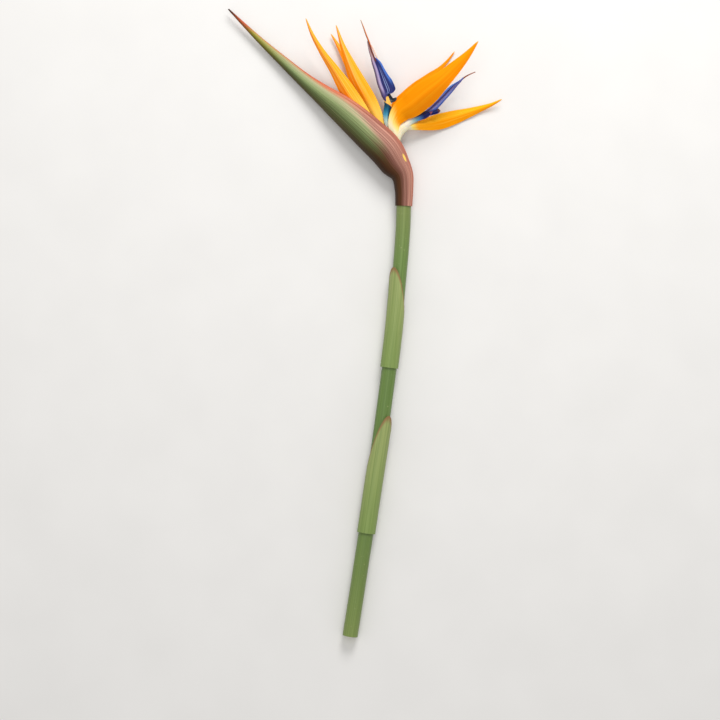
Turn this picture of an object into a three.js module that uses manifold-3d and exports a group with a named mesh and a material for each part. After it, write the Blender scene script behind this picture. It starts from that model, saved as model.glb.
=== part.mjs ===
// A single cut bird of paradise flower (Strelitzia reginae), lying on its side on a flat surface.
//
// Millimetres, +Z up. The surface is z = 0, the stem runs towards -Y and the head towards +Y, and the
// origin is the middle of the flower's footprint. The beak of the spathe points to -X and +Y.
//
// Every long piece is drawn smoothly through a short list of stations, from where it is attached to
// its tip. A station is a place on the piece's centre line and the size of its section there.

import * as THREE from "three";
import { mergeVertices } from "three/addons/utils/BufferGeometryUtils.js";
import Module from "manifold-3d";

const wasm = await Module();
wasm.setup();

// ---------------------------------------------------------------- driving dimensions

const CLEARANCE = 0.3; // between two pieces that touch
const UP = new THREE.Vector3(0, 0, 1);

// Thickness at the keel and at the edge; spacing is the longest stretch between two rows of points.
const SEPAL = { middle: 1.1, edge: 0.6, spacing: 8, columns: 6 };
const PETAL = { middle: 0.9, edge: 0.6, spacing: 6 };
// The sheath's looseness is its extra room round the stem, and its lift how far its tip stands off.
const SHEATH = { wall: 0.9, rows: 6, columns: 16, looseness: 0.2, lift: 1.6 };
const SPATHE = { wall: 1.6, sides: 24, spacing: 9, hollowFrom: 0.3, hollowTo: 0.885, hollowRows: 16 };
const STAMENS = 5;
const FOOTPRINT_MIDDLE = new THREE.Vector3(0.5, 3.5, 0); // of the stations below, moved to the origin

// The spathe, from the beak's tip to the collar round the stem:
// [x, y, z, half height, half thickness, half gap between the lips, pinch of the upper edge]
const spatheStations = [
  [-115.9, 270.9, 7.0, 0.6, 0.6, 0.2, 0.2],
  [-100.9, 256.0, 6.4, 1.8, 1.7, 0.2, 0.25],
  [-88.1, 243.6, 6.0, 2.8, 2.6, 0.2, 0.3],
  [-72.4, 229.3, 6.0, 4.2, 3.9, 0.2, 0.35],
  [-47.3, 207.1, 7.0, 6.8, 6.2, 1.6, 0.35],
  [-34.5, 196.8, 8.2, 8.8, 7.6, 3.6, 0.35],
  [-21.8, 186.8, 9.8, 11.2, 9.6, 5.4, 0.35],
  [3.8, 164.1, 12.0, 13.9, 12.0, 6.6, 0.35],
  [18.8, 149.2, 11.9, 14.2, 11.8, 6.2, 0.35],
  [26.2, 138.3, 11.1, 12.6, 10.8, 2.4, 0.3],
  [31.8, 130.2, 10.0, 9.7, 9.4, 0.2, 0.2],
  [33.6, 116.7, 9.1, 7.9, 7.9, 0.2, 0.08],
  [33.4, 103.1, 8.6, 7.2, 7.2, 0.2, 0.0],
];

// The stem, from the growing point inside the spathe to the cut: [x, y, z, half width, half height]
const stemStations = [
  [26.4, 137.8, 11.0, 4.4, 4.4],
  [30.6, 129.3, 10.3, 5.4, 5.4],
  [33.4, 116.7, 9.4, 6.1, 6.1],
  [33.4, 103.1, 8.8, 6.2, 6.2],
  [28.5, 31.5, 9.4, 6.2, 6.2],
  [17.5, -62.1, 9.4, 6.3, 6.3],
  [3.0, -164.3, 8.5, 6.4, 6.4],
  [-12.3, -263.3, 6.3, 6.5, 6.5],
];

// Sheathing leaf bases that clasp the stem: where each starts and ends along the stem (0 at the
// growing point, 1 at the cut), and the side that its point is on, in degrees from straight up.
const sheaths = {
  stem_sheath_upper: { base: 0.43, shoulder: 0.33, point: 0.22, side: 38 },
  stem_sheath_lower: { base: 0.78, shoulder: 0.66, point: 0.53, side: -34 },
};

// Unopened buds in the keel of the spathe: [x, y, z, half width, half height]
const budStations = {
  bud_1: [
    [23.0, 139.0, 8.4, 2.4, 2.4],
    [14.0, 148.0, 7.8, 3.8, 3.8],
    [2.0, 159.5, 7.8, 4.1, 4.1],
    [-14.0, 173.0, 8.0, 3.7, 3.7],
    [-34.0, 191.5, 7.6, 2.6, 2.6],
    [-56.0, 211.0, 7.0, 0.5, 0.5],
  ],
  bud_2: [
    [21.0, 138.0, 13.4, 2.0, 2.0],
    [10.0, 148.6, 15.2, 3.1, 3.1],
    [-2.0, 158.6, 14.8, 2.9, 2.9],
    [-16.0, 171.5, 13.0, 1.9, 1.9],
    [-30.0, 184.6, 10.8, 0.4, 0.4],
  ],
};

// The older floret, on the stem side of the opening, and the younger one, on the beak's side.
// tube, stamens, style: [x, y, z, half width, half height].
// claw, smallPetal and sepals: [x, y, z, half width, fold, cup, roll in degrees], where the fold is
// the slope of each half, positive with the keel up.
// head, along the groove between its two limbs: [x, y, z, width of the arched limb, width of the
// wing, height of the arch, slope of the wing, how far the wing's edge is swept back to the claw].
const florets = {
  floret_1: {
    tube: [
      [28.6, 134.0, 11.4, 2.6, 2.6],
      [28.0, 141.6, 11.7, 3.4, 3.4],
      [26.9, 150.4, 12.0, 3.6, 3.6],
      [26.6, 158.9, 12.0, 4.1, 3.8],
      [29.2, 166.3, 12.0, 4.7, 3.8],
      [34.6, 170.7, 12.0, 4.5, 3.6],
      [40.5, 172.0, 11.6, 3.6, 2.6],
      [46.0, 172.4, 10.6, 2.2, 1.2],
    ],
    sepals: {
      floret_1_sepal_near: [
        [26.6, 155.6, 15.4, 1.6, 0.1, 0.0, 0],
        [26.0, 163.8, 16.6, 2.6, 0.1, 0.0, 0],
        [26.3, 172.8, 17.6, 4.6, 0.15, 0.05, -4],
        [29.8, 180.4, 19.8, 8.3, 0.2, 0.08, -8],
        [39.8, 187.0, 25.5, 10.7, 0.22, 0.1, -12],
        [52.8, 197.1, 32.5, 10.8, 0.2, 0.08, -12],
        [64.2, 206.1, 37.0, 7.8, 0.2, 0.05, -8],
        [76.1, 217.4, 39.5, 5.4, 0.25, 0.0, -4],
        [86.6, 228.3, 41.0, 2.9, 0.3, 0.0, 0],
        [95.3, 239.1, 41.5, 0.4, 0.3, 0.0, 0],
      ],
      floret_1_sepal_far: [
        [26.4, 162.5, 7.0, 2.0, 0.0, 0.0, 0],
        [26.0, 175.6, 6.4, 4.2, 0.0, -0.06, 0],
        [29.4, 186.0, 5.2, 7.6, 0.0, -0.12, 0],
        [38.8, 193.8, 4.2, 9.3, 0.0, -0.14, 0],
        [48.2, 202.4, 3.4, 8.8, 0.0, -0.14, 0],
        [57.0, 212.7, 2.8, 5.1, 0.0, -0.13, 0],
        [64.4, 220.7, 2.4, 1.9, 0.0, -0.1, 0],
        [70.0, 226.4, 2.0, 1.2, 0.0, -0.05, 0],
        [77.1, 235.6, 1.6, 0.4, 0.0, 0.0, 0],
      ],
      floret_1_sepal_outer: [
        [35.5, 170.6, 14.2, 3.4, 0.3, 0.0, 0],
        [40.0, 171.3, 14.0, 3.8, 0.35, 0.0, 0],
        [45.0, 171.9, 12.3, 4.2, 0.4, 0.0, 2],
        [49.2, 172.4, 10.4, 4.6, 0.45, 0.05, 4],
        [56.0, 173.8, 7.8, 5.8, 0.5, 0.05, 6],
        [65.3, 176.3, 4.9, 6.8, 0.5, 0.05, 6],
        [76.4, 179.5, 3.8, 6.0, 0.5, 0.05, 6],
        [87.5, 182.8, 3.4, 4.3, 0.5, 0.05, 4],
        [98.6, 186.4, 3.8, 2.6, 0.5, 0.0, 0],
        [108.8, 190.1, 4.9, 1.4, 0.4, 0.0, 0],
        [117.2, 194.2, 6.6, 0.4, 0.3, 0.0, 0],
      ],
    },
    claw: [
      [31.0, 167.0, 13.6, 2.0, 0.2, 0.1, 0],
      [35.0, 171.2, 15.6, 2.2, 0.25, 0.1, 0],
      [41.0, 175.4, 16.2, 2.3, 0.3, 0.1, 0],
      [47.0, 178.2, 16.1, 2.7, 0.35, 0.1, 0],
      [51.3, 180.0, 16.0, 3.0, 0.35, 0.1, 0],
      [55.0, 182.2, 16.0, 2.2, 0.35, 0.1, 0],
    ],
    head: [
      [49.3, 180.4, 15.2, 0.8, 0.6, 0.6, -0.8, 0],
      [53.4, 183.2, 15.4, 1.4, 1.4, 0.9, -0.9, 0],
      [57.0, 185.8, 15.8, 2.8, 2.2, 1.3, -0.9, 0],
      [59.5, 188.1, 16.1, 3.7, 2.6, 1.6, -0.9, 0],
      [62.2, 190.5, 16.5, 3.5, 2.8, 1.7, -0.9, 0],
      [66.2, 194.2, 17.1, 2.9, 2.9, 1.6, -0.9, 0],
      [70.5, 198.5, 17.9, 2.6, 2.9, 1.5, -0.9, 0],
      [74.6, 202.7, 18.8, 2.2, 2.5, 1.3, -0.8, 0],
      [77.6, 205.3, 19.6, 1.5, 1.7, 1.0, -0.7, 0],
      [80.8, 208.0, 20.5, 1.0, 0.9, 0.6, -0.5, 0],
      [83.6, 210.8, 21.5, 0.5, 0.4, 0.2, 0.0, 0],
    ],
    archedLimbOn: "right",
    stamens: [
      [48.0, 178.9, 14.5, 0.5, 0.5],
      [53.2, 181.9, 14.4, 0.7, 0.7],
      [57.4, 184.4, 14.6, 0.7, 0.7],
      [60.8, 186.9, 15.2, 0.7, 0.7],
      [63.4, 189.3, 15.7, 0.7, 0.7],
      [67.2, 193.2, 16.3, 0.7, 0.7],
      [71.4, 197.6, 17.0, 0.7, 0.7],
      [75.2, 201.8, 17.8, 0.6, 0.6],
      [78.0, 204.6, 18.4, 0.45, 0.45],
    ],
    style: [
      [79.0, 206.4, 18.6, 0.5, 0.5],
      [81.6, 208.6, 19.4, 0.6, 0.6],
      [84.6, 211.1, 20.7, 0.6, 0.6],
      [88.8, 213.4, 22.0, 0.5, 0.5],
      [93.7, 215.4, 22.8, 0.35, 0.35],
    ],
    smallPetal: [
      [51.0, 179.4, 13.2, 1.0, -0.2, -0.1, 0],
      [55.0, 181.0, 12.8, 1.4, -0.3, -0.2, 0],
      [59.2, 182.2, 12.6, 1.8, -0.3, -0.3, 6],
      [62.2, 183.4, 12.6, 2.1, -0.3, -0.3, 10],
      [64.4, 183.9, 12.7, 0.9, -0.2, -0.2, 10],
    ],
  },
  floret_2: {
    tube: [
      [24.4, 135.4, 11.4, 2.2, 2.2],
      [21.2, 142.0, 11.7, 2.8, 2.8],
      [19.6, 149.6, 12.0, 3.0, 3.0],
      [19.5, 156.4, 12.0, 2.6, 2.6],
    ],
    sepals: {
      floret_2_sepal_near: [
        [19.2, 150.6, 15.7, 1.8, 0.2, 0.0, 0],
        [9.0, 164.6, 15.0, 4.4, 0.3, 0.0, 8],
        [-3.8, 183.2, 14.4, 6.6, 0.35, 0.05, 14],
        [-14.9, 200.1, 16.4, 6.6, 0.4, 0.05, 14],
        [-26.2, 218.3, 20.6, 4.1, 0.5, 0.0, 8],
        [-36.8, 233.9, 24.8, 2.4, 0.6, 0.0, 0],
        [-44.3, 247.0, 28.0, 1.4, 0.6, 0.0, 0],
        [-49.6, 260.0, 30.0, 0.4, 0.3, 0.0, 0],
      ],
      floret_2_sepal_middle: [
        [18.6, 156.6, 12.2, 1.2, 0.2, 0.0, 0],
        [14.4, 164.4, 11.2, 3.4, 0.3, 0.0, 10],
        [10.6, 175.9, 11.2, 5.6, 0.35, 0.05, 14],
        [5.5, 186.8, 12.2, 6.8, 0.4, 0.05, 16],
        [-0.9, 198.4, 14.2, 7.2, 0.4, 0.05, 16],
        [-7.6, 210.9, 17.0, 6.2, 0.45, 0.0, 12],
        [-13.6, 225.0, 19.8, 4.2, 0.5, 0.0, 6],
        [-18.4, 237.5, 21.8, 2.2, 0.5, 0.0, 0],
        [-24.1, 255.1, 23.6, 0.4, 0.3, 0.0, 0],
      ],
      floret_2_sepal_far: [
        [19.4, 151.0, 8.2, 1.6, 0.0, 0.0, 0],
        [13.2, 169.6, 7.2, 3.6, 0.05, 0.0, 0],
        [3.8, 191.8, 5.8, 5.8, 0.05, 0.0, 0],
        [-6.4, 212.4, 4.8, 5.4, 0.1, 0.0, 0],
        [-15.8, 228.7, 4.2, 3.2, 0.1, 0.0, 0],
        [-22.2, 239.8, 3.8, 1.7, 0.1, 0.0, 0],
        [-28.7, 250.4, 3.4, 0.4, 0.1, 0.0, 0],
      ],
    },
    claw: [
      [20.4, 154.5, 12.0, 1.2, 0.2, 0.1, 0],
      [19.8, 165.7, 12.2, 1.3, 0.3, 0.1, 0],
      [19.5, 171.2, 12.5, 1.6, 0.35, 0.1, 0],
      [18.9, 175.0, 12.8, 2.2, 0.4, 0.1, 0],
      [18.9, 178.8, 13.2, 2.9, 0.4, 0.1, 0],
      [19.4, 183.4, 13.8, 3.3, 0.4, 0.1, 0],
      [19.9, 187.2, 14.4, 3.1, 0.4, 0.1, 0],
      [19.3, 191.0, 15.0, 2.5, 0.4, 0.1, 0],
      [18.2, 195.2, 15.6, 1.9, 0.4, 0.1, 0],
    ],
    head: [
      [19.1, 191.3, 14.1, 1.6, 0.8, 0.7, 0.1, 0],
      [19.0, 193.4, 14.4, 2.8, 0.8, 1.1, 0.1, 0],
      [18.7, 196.0, 14.8, 3.9, 0.8, 1.5, 0.1, 0],
      [18.4, 197.9, 15.1, 4.3, 1.6, 1.6, 0.1, 0.6],
      [18.0, 199.4, 15.2, 4.3, 5.4, 1.7, 0.1, 2.6],
      [17.6, 200.4, 15.4, 4.3, 8.0, 1.7, 0.12, 2.4],
      [16.9, 202.2, 15.5, 4.3, 8.8, 1.8, 0.14, 1.4],
      [15.9, 204.6, 15.7, 4.3, 8.8, 1.8, 0.16, 0.5],
      [15.0, 207.2, 15.9, 4.3, 8.4, 1.9, 0.18, 0],
      [13.6, 212.2, 16.2, 4.1, 6.6, 1.8, 0.2, 0],
      [12.0, 217.6, 16.6, 3.8, 5.0, 1.7, 0.2, 0],
      [10.6, 221.4, 16.8, 3.6, 4.4, 1.6, 0.2, 0],
      [9.2, 224.6, 17.0, 3.2, 3.5, 1.5, 0.2, 0],
      [8.4, 226.6, 17.2, 2.8, 2.4, 1.3, 0.15, 0],
      [7.7, 228.4, 17.3, 2.4, 1.0, 1.1, 0.1, 0],
      [7.0, 230.2, 17.4, 2.1, 0.5, 1.0, 0.0, 0],
      [5.8, 233.0, 17.6, 1.8, 0.5, 0.8, 0.0, 0],
      [4.2, 237.4, 17.9, 1.2, 0.4, 0.5, 0.0, 0],
      [2.7, 242.7, 18.2, 0.5, 0.4, 0.2, 0.0, 0],
    ],
    archedLimbOn: "left",
    stamens: [
      [19.5, 182.7, 12.2, 0.5, 0.5],
      [19.4, 189.4, 13.2, 0.7, 0.7],
      [17.0, 196.3, 13.9, 0.75, 0.75],
      [14.6, 203.4, 14.6, 0.75, 0.75],
      [12.6, 210.0, 15.0, 0.75, 0.75],
      [11.2, 217.6, 15.2, 0.75, 0.75],
      [10.8, 223.6, 15.3, 0.75, 0.75],
      [10.5, 227.0, 15.9, 0.75, 0.75],
      [9.1, 230.0, 17.2, 0.7, 0.7],
      [7.2, 234.1, 17.5, 0.6, 0.6],
      [5.0, 238.6, 17.9, 0.35, 0.35],
    ],
    style: [
      [9.5, 225.0, 18.4, 0.4, 0.4],
      [7.9, 229.6, 18.9, 0.55, 0.55],
      [6.1, 234.2, 19.3, 0.6, 0.6],
      [4.0, 240.8, 19.6, 0.7, 0.7],
      [1.4, 247.2, 19.8, 0.65, 0.65],
      [-0.9, 253.6, 20.1, 0.5, 0.5],
      [-3.2, 259.8, 20.4, 0.35, 0.35],
    ],
    smallPetal: [
      [20.6, 198.1, 12.4, 1.2, -0.2, -0.1, 0],
      [21.3, 195.1, 12.4, 1.9, -0.3, -0.2, 0],
      [22.8, 192.9, 12.6, 2.2, -0.3, -0.3, 0],
      [25.0, 192.9, 12.9, 1.6, -0.3, -0.3, 0],
      [27.2, 194.7, 13.2, 0.7, -0.2, -0.1, 0],
    ],
  },
};

// ---------------------------------------------------------------- materials

const colours = {
  stem: "#6f8a45",
  stem_sheath: "#8a9a58",
  spathe: "#8a8f5c",
  floret_tube: "#efe7cf",
  sepal: "#ff9a0a",
  arrow: "#3b3f9e",
  small_petal: "#1c2350",
  stamens: "#cfd0e6",
  style: "#c9603a",
  bud: "#e8b070",
};

const material = (slot) =>
  new THREE.MeshStandardMaterial({
    color: colours[slot],
    roughness: slot === "spathe" || slot === "stem" ? 0.42 : 0.55,
    metalness: 0,
  });

// ---------------------------------------------------------------- drawing through stations

const distance = (a, b) => Math.hypot(a[0] - b[0], a[1] - b[1], a[2] - b[2]);

// The running length at each station, measured straight from one to the next.
function runningLengths(stations) {
  const lengths = [0];
  for (let i = 1; i < stations.length; i++)
    lengths.push(lengths[i - 1] + distance(stations[i - 1], stations[i]));
  return lengths;
}

// A station's rate of change per millimetre, weighted towards its shorter neighbouring stretch.
function slopeAt(stations, lengths, i) {
  const last = stations.length - 1;
  const rise = (k) =>
    stations[k].map(
      (v, c) => (stations[k + 1][c] - v) / (lengths[k + 1] - lengths[k]),
    );
  if (i === 0) return rise(0);
  if (i === last) return rise(last - 1);
  const before = lengths[i] - lengths[i - 1];
  const after = lengths[i + 1] - lengths[i];
  const [a, b] = [rise(i - 1), rise(i)];
  return a.map((v, c) => (v * after + b[c] * before) / (before + after));
}

// Where rows of points go: at every station, and between them wherever the stretch is long.
function rowPlaces(stations, spacing) {
  const lengths = runningLengths(stations);
  const places = [0];
  for (let i = 1; i < lengths.length; i++) {
    const steps = Math.ceil((lengths[i] - lengths[i - 1]) / spacing - 0.3) || 1;
    for (let k = 1; k <= steps; k++)
      places.push(THREE.MathUtils.lerp(lengths[i - 1], lengths[i], k / steps) / lengths.at(-1));
  }
  return places;
}

// Every column of the station list at t, where t runs from 0 to 1 along its length.
function stationAt(stations, t) {
  const lengths = runningLengths(stations);
  const at = THREE.MathUtils.clamp(t, 0, 1) * lengths.at(-1);
  let i = lengths.findIndex((l) => l > at) - 1;
  if (i < 0) i = stations.length - 2;
  const span = lengths[i + 1] - lengths[i];
  const f = (at - lengths[i]) / span;
  const [m0, m1] = [slopeAt(stations, lengths, i), slopeAt(stations, lengths, i + 1)];
  return stations[i].map(
    (v, c) =>
      v * (2 * f ** 3 - 3 * f ** 2 + 1) +
      m0[c] * span * (f ** 3 - 2 * f ** 2 + f) +
      stations[i + 1][c] * (3 * f ** 2 - 2 * f ** 3) +
      m1[c] * span * (f ** 3 - f ** 2),
  );
}

// The centre line's place and directions at t: along the piece, level to its right, and upwards.
function frameAt(stations, t) {
  const step = 1e-3;
  const place = (s) => new THREE.Vector3(...stationAt(stations, s).slice(0, 3));
  const along = place(Math.min(t + step, 1)).sub(place(Math.max(t - step, 0))).normalize();
  const right = new THREE.Vector3().crossVectors(along, UP).normalize();
  return { centre: place(t), along, right, upward: new THREE.Vector3().crossVectors(right, along) };
}

// The point of a frame at a distance to its right and upwards, and sometimes back along the piece.
const pointOn = (frame, right, upward, back = 0) =>
  frame.centre
    .clone()
    .addScaledVector(frame.right, right)
    .addScaledVector(frame.upward, upward)
    .addScaledVector(frame.along, -back);

// ---------------------------------------------------------------- closed solids

// A three.js geometry as a solid that can be cut and joined.
function solidOf(geometry) {
  const merged = mergeVertices(geometry, 1e-4);
  return new wasm.Manifold(
    new wasm.Mesh({
      numProp: 3,
      vertProperties: merged.attributes.position.array,
      triVerts: new Uint32Array(merged.index.array),
    }),
  );
}

function geometryFrom(points, triangles) {
  const geometry = new THREE.BufferGeometry().setFromPoints(points);
  geometry.setIndex(triangles.flat());
  return geometry;
}

// A solid of rings, each a closed loop of points, with a flat fan over each end. The rings run
// clockwise as seen looking along the piece.
function loft(rings) {
  const sides = rings[0].length;
  const points = rings.flat();
  const triangles = [];
  for (let r = 0; r < rings.length - 1; r++)
    for (let k = 0; k < sides; k++) {
      const [a, b] = [r * sides + k, r * sides + ((k + 1) % sides)];
      triangles.push([a, b, b + sides], [a, b + sides, a + sides]);
    }
  const middle = (ring) =>
    ring.reduce((sum, p) => sum.add(p), new THREE.Vector3()).divideScalar(ring.length);
  const firstMiddle = points.push(middle(rings[0])) - 1;
  const lastMiddle = points.push(middle(rings.at(-1))) - 1;
  const lastRing = (rings.length - 1) * sides;
  for (let k = 0; k < sides; k++) {
    const next = (k + 1) % sides;
    triangles.push([firstMiddle, next, k], [lastMiddle, lastRing + k, lastRing + next]);
  }
  return facingOut(geometryFrom(points, triangles));
}

// A thin solid round a grid of { point, normal, thickness }. Both faces are split the same way, so
// a waved sheet's faces never cross.
function slab(grid) {
  const [rows, columns] = [grid.length, grid[0].length];
  const face = (sign) =>
    grid.flat().map((g) => g.point.clone().addScaledVector(g.normal, (sign * g.thickness) / 2));
  const points = [...face(1), ...face(-1)];
  const front = (r, c) => r * columns + c;
  const back = (r, c) => rows * columns + front(r, c);
  const triangles = [];
  const quad = (a, b, c, d) => triangles.push([a, b, c], [a, c, d]);
  for (let r = 0; r < rows - 1; r++) {
    for (let c = 0; c < columns - 1; c++) {
      quad(front(r, c), front(r, c + 1), front(r + 1, c + 1), front(r + 1, c));
      triangles.push(
        [back(r, c), back(r + 1, c + 1), back(r, c + 1)],
        [back(r, c), back(r + 1, c), back(r + 1, c + 1)],
      );
    }
    quad(back(r, 0), front(r, 0), front(r + 1, 0), back(r + 1, 0));
    const c = columns - 1;
    quad(front(r, c), back(r, c), back(r + 1, c), front(r + 1, c));
  }
  for (let c = 0; c < columns - 1; c++) {
    const r = rows - 1;
    quad(front(0, c + 1), front(0, c), back(0, c), back(0, c + 1));
    quad(front(r, c), front(r, c + 1), back(r, c + 1), back(r, c));
  }
  return facingOut(geometryFrom(points, triangles));
}

// The solid with its faces pointing out, whichever way round the geometry was listed.
function facingOut(geometry) {
  const solid = solidOf(geometry);
  if (solid.volume() > 0) return solid;
  const index = geometry.index.array;
  for (let i = 0; i < index.length; i += 3) [index[i + 1], index[i + 2]] = [index[i + 2], index[i + 1]];
  return solidOf(geometry);
}

// The biggest piece that is left of a solid once the others have been cut away.
function trimmed(solid, ...others) {
  const left = others.reduce((rest, other) => rest.subtract(other), solid);
  return left.decompose().reduce((a, b) => (a.volume() > b.volume() ? a : b));
}

// ---------------------------------------------------------------- the pieces' forms

// A solid stalk, bud or tube with an oval section, fluted if it is a bundle.
function stalk(stations, { spacing = 8, sides = 10, grow = 0, flute = 0 } = {}) {
  const rings = rowPlaces(stations, spacing).map((t) => {
    const [, , , halfWidth, halfHeight] = stationAt(stations, t);
    const frame = frameAt(stations, t);
    const ring = [];
    for (let k = 0; k < sides; k++) {
      const angle = (2 * Math.PI * (k + 0.5)) / sides;
      const fluted = 1 - flute * (k % 2);
      const side = (halfWidth * fluted + grow) * Math.sin(angle);
      ring.push(pointOn(frame, side, (halfHeight * fluted + grow) * Math.cos(angle)));
    }
    return ring;
  });
  return loft(rings);
}

// A thin leaf of tissue. Its section gives [to the right, upwards, back] for v from -1, the left
// edge, to 1, the right edge; it is thickest at its middle.
function sheet(stations, section, { middle, edge, spacing, columns, grow = 0 }) {
  const nudge = 1e-3;
  const grid = rowPlaces(stations, spacing).map((t) => {
    const station = stationAt(stations, t);
    const frame = frameAt(stations, t);
    const row = [];
    for (let c = 0; c <= columns; c++) {
      const v = -1 + (2 * c) / columns;
      const [side, height, back] = section(v, station);
      const [sideBefore, heightBefore] = section(v - nudge, station);
      const [sideAfter, heightAfter] = section(v + nudge, station);
      row.push({
        point: pointOn(frame, side + Math.sign(v) * grow, height, back),
        normal: frame.upward
          .clone()
          .multiplyScalar(sideAfter - sideBefore)
          .addScaledVector(frame.right, heightBefore - heightAfter)
          .normalize(),
        thickness: THREE.MathUtils.lerp(middle, edge, v * v) + 2 * grow,
      });
    }
    return row;
  });
  return slab(grid);
}

// The section of a blade folded along its keel, cupped and rolled to one side, as a sepal is.
function bladeSection(v, [, , , half, fold, cup, roll]) {
  const keel = 0.12; // of the half width, over which the fold is rounded
  const side = half * v;
  const height = -half * (fold * (Math.hypot(v, keel) - keel) + cup * v * v);
  const turn = THREE.MathUtils.degToRad(roll);
  return [
    side * Math.cos(turn) - height * Math.sin(turn),
    side * Math.sin(turn) + height * Math.cos(turn),
  ];
}

const sepal = (stations, grow = 0) => sheet(stations, bladeSection, { ...SEPAL, grow });
const petal = (stations, grow = 0) =>
  sheet(stations, bladeSection, { ...PETAL, columns: 4, grow });

// Two petals grown together as an arrow: a narrow claw, and a head with an arched limb on one side
// of its groove and a hollow wing on the other.
function arrow({ claw, head, archedLimbOn }, grow = 0) {
  const arched = archedLimbOn === "left" ? -1 : 1;
  const hollow = 0.12; // of the wing's width
  const headSection = (v, [, , , limb, wing, height, slope, sweep]) => {
    const across = Math.abs(v);
    return v * arched > 0
      ? [v * limb, height * Math.sin(Math.PI * across), 0]
      : [v * wing, wing * (slope * across - hollow * Math.sin(Math.PI * across)), sweep * across];
  };
  return sheet(claw, bladeSection, { ...PETAL, columns: 4, grow }).add(
    sheet(head, headSection, { ...PETAL, columns: 8, grow }),
  );
}

// A leaf base rolled round the stem, open along a seam, with its upper edge drawn up to a point.
function sheath({ base, shoulder, point, side }) {
  const wrap = 165; // degrees that it reaches round the stem on each side of its point
  const grid = [];
  for (let r = 0; r <= SHEATH.rows; r++) {
    const row = [];
    for (let c = 0; c <= SHEATH.columns; c++) {
      const v = -1 + (2 * c) / SHEATH.columns;
      const top = THREE.MathUtils.lerp(shoulder, point, Math.cos((v * Math.PI) / 2) ** 2.4);
      const height = r / SHEATH.rows;
      const t = THREE.MathUtils.lerp(base, top, height);
      const frame = frameAt(stemStations, t);
      const angle = THREE.MathUtils.degToRad(side + v * wrap);
      const outward = frame.upward
        .clone()
        .multiplyScalar(Math.cos(angle))
        .addScaledVector(frame.right, Math.sin(angle));
      const lift = SHEATH.lift * height ** 3 * Math.cos((v * Math.PI) / 2) ** 4;
      const loose = CLEARANCE + SHEATH.looseness + lift;
      const radius = stationAt(stemStations, t)[3] + loose + SHEATH.wall / 2;
      row.push({
        point: frame.centre.clone().addScaledVector(outward, radius),
        normal: outward,
        thickness: SHEATH.wall,
      });
    }
    grid.push(row);
  }
  return slab(grid);
}

// ---- the spathe

// A point of the spathe's section, as [towards the lips, sideways]. The angle runs from the keel, 0,
// to the lips, pi; the upper part is pinched to an edge and parted by the gap.
function spatheSection(height, thickness, gap, pinch, angle) {
  const drop = Math.abs(Math.cos(angle / 2)) ** Math.max(pinch, 0);
  const parted = Math.max(gap, 0.2) * ((1 - Math.cos(angle)) / 2) ** 2 * Math.sign(Math.sin(angle));
  return [-height * Math.cos(angle), thickness * Math.sin(angle) * drop + parted];
}

function spatheOuter() {
  const rings = rowPlaces(spatheStations, SPATHE.spacing).map((t) => {
    const [, , , height, thickness, gap, pinch] = stationAt(spatheStations, t);
    const frame = frameAt(spatheStations, t);
    const ring = [];
    for (let k = 0; k < SPATHE.sides; k++) {
      const angle = (2 * Math.PI * k) / SPATHE.sides;
      const [up, out] = spatheSection(height, thickness, gap, pinch, angle);
      ring.push(pointOn(frame, -up, k === SPATHE.sides / 2 ? 0 : out));
    }
    return ring;
  });
  return loft(rings);
}

// The hollow that holds the buds and the florets' feet, with the slit between the lips above it.
function spatheHollow() {
  const steps = 8;
  const lastAngle = (150 * Math.PI) / 180; // where the inner wall gives way to the slit
  const clearOfLips = 4;
  const rings = [];
  for (let r = 0; r <= SPATHE.hollowRows; r++) {
    const t = THREE.MathUtils.lerp(SPATHE.hollowFrom, SPATHE.hollowTo, r / SPATHE.hollowRows);
    const [, , , height, thickness, gap, pinch] = stationAt(spatheStations, t);
    const wall = Math.min(SPATHE.wall, height * 0.3);
    const half = [];
    for (let k = 0; k <= steps; k++) {
      const angle = (lastAngle * k) / steps;
      half.push(spatheSection(height - wall, thickness - wall, gap, pinch, angle));
    }
    const slit = Math.max(gap, 0.2);
    half.push([height - wall, slit], [height + clearOfLips, slit]);
    const otherHalf = half.slice(1).reverse().map(([up, out]) => [up, -out]);
    const frame = frameAt(spatheStations, t);
    rings.push([...half, ...otherHalf].map(([up, out]) => pointOn(frame, -up, out)));
  }
  return loft(rings);
}

// ---------------------------------------------------------------- assembly

// Everything below the surface the flower lies on: what reaches it is pressed flat.
const underSurface = solidOf(
  new THREE.BoxGeometry(600, 900, 20).deleteAttribute("normal").deleteAttribute("uv").translate(0, 0, -10),
);

// A named mesh whose own origin is where the piece is attached.
function pieceOf(name, solid, slot, attachedAt) {
  const { vertProperties, triVerts } = solid.getMesh();
  const geometry = new THREE.BufferGeometry();
  geometry.setAttribute("position", new THREE.BufferAttribute(new Float32Array(vertProperties), 3));
  geometry.setIndex([...triVerts]);
  const [x, y, z] = attachedAt;
  geometry.translate(-x, -y, -z);
  geometry.computeVertexNormals();
  const mesh = new THREE.Mesh(geometry, material(slot));
  mesh.name = name;
  mesh.position.set(x, y, z);
  return mesh;
}

const stemForm = { spacing: 24, sides: 16 };
const stem = trimmed(stalk(stemStations, stemForm), underSurface);
const stemRoom = stalk(stemStations, { ...stemForm, grow: CLEARANCE });
const spathe = trimmed(spatheOuter(), spatheHollow(), stemRoom, underSurface);

const flower = new THREE.Group();
flower.position.copy(FOOTPRINT_MIDDLE).negate();
flower.add(pieceOf("stem", stem, "stem", stemStations.at(-1)));
for (const [name, form] of Object.entries(sheaths)) {
  const attachedAt = stationAt(stemStations, form.base).slice(0, 3);
  flower.add(pieceOf(name, trimmed(sheath(form), stemRoom), "stem_sheath", attachedAt));
}
flower.add(pieceOf("spathe", spathe, "spathe", spatheStations.at(-1)));

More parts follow.
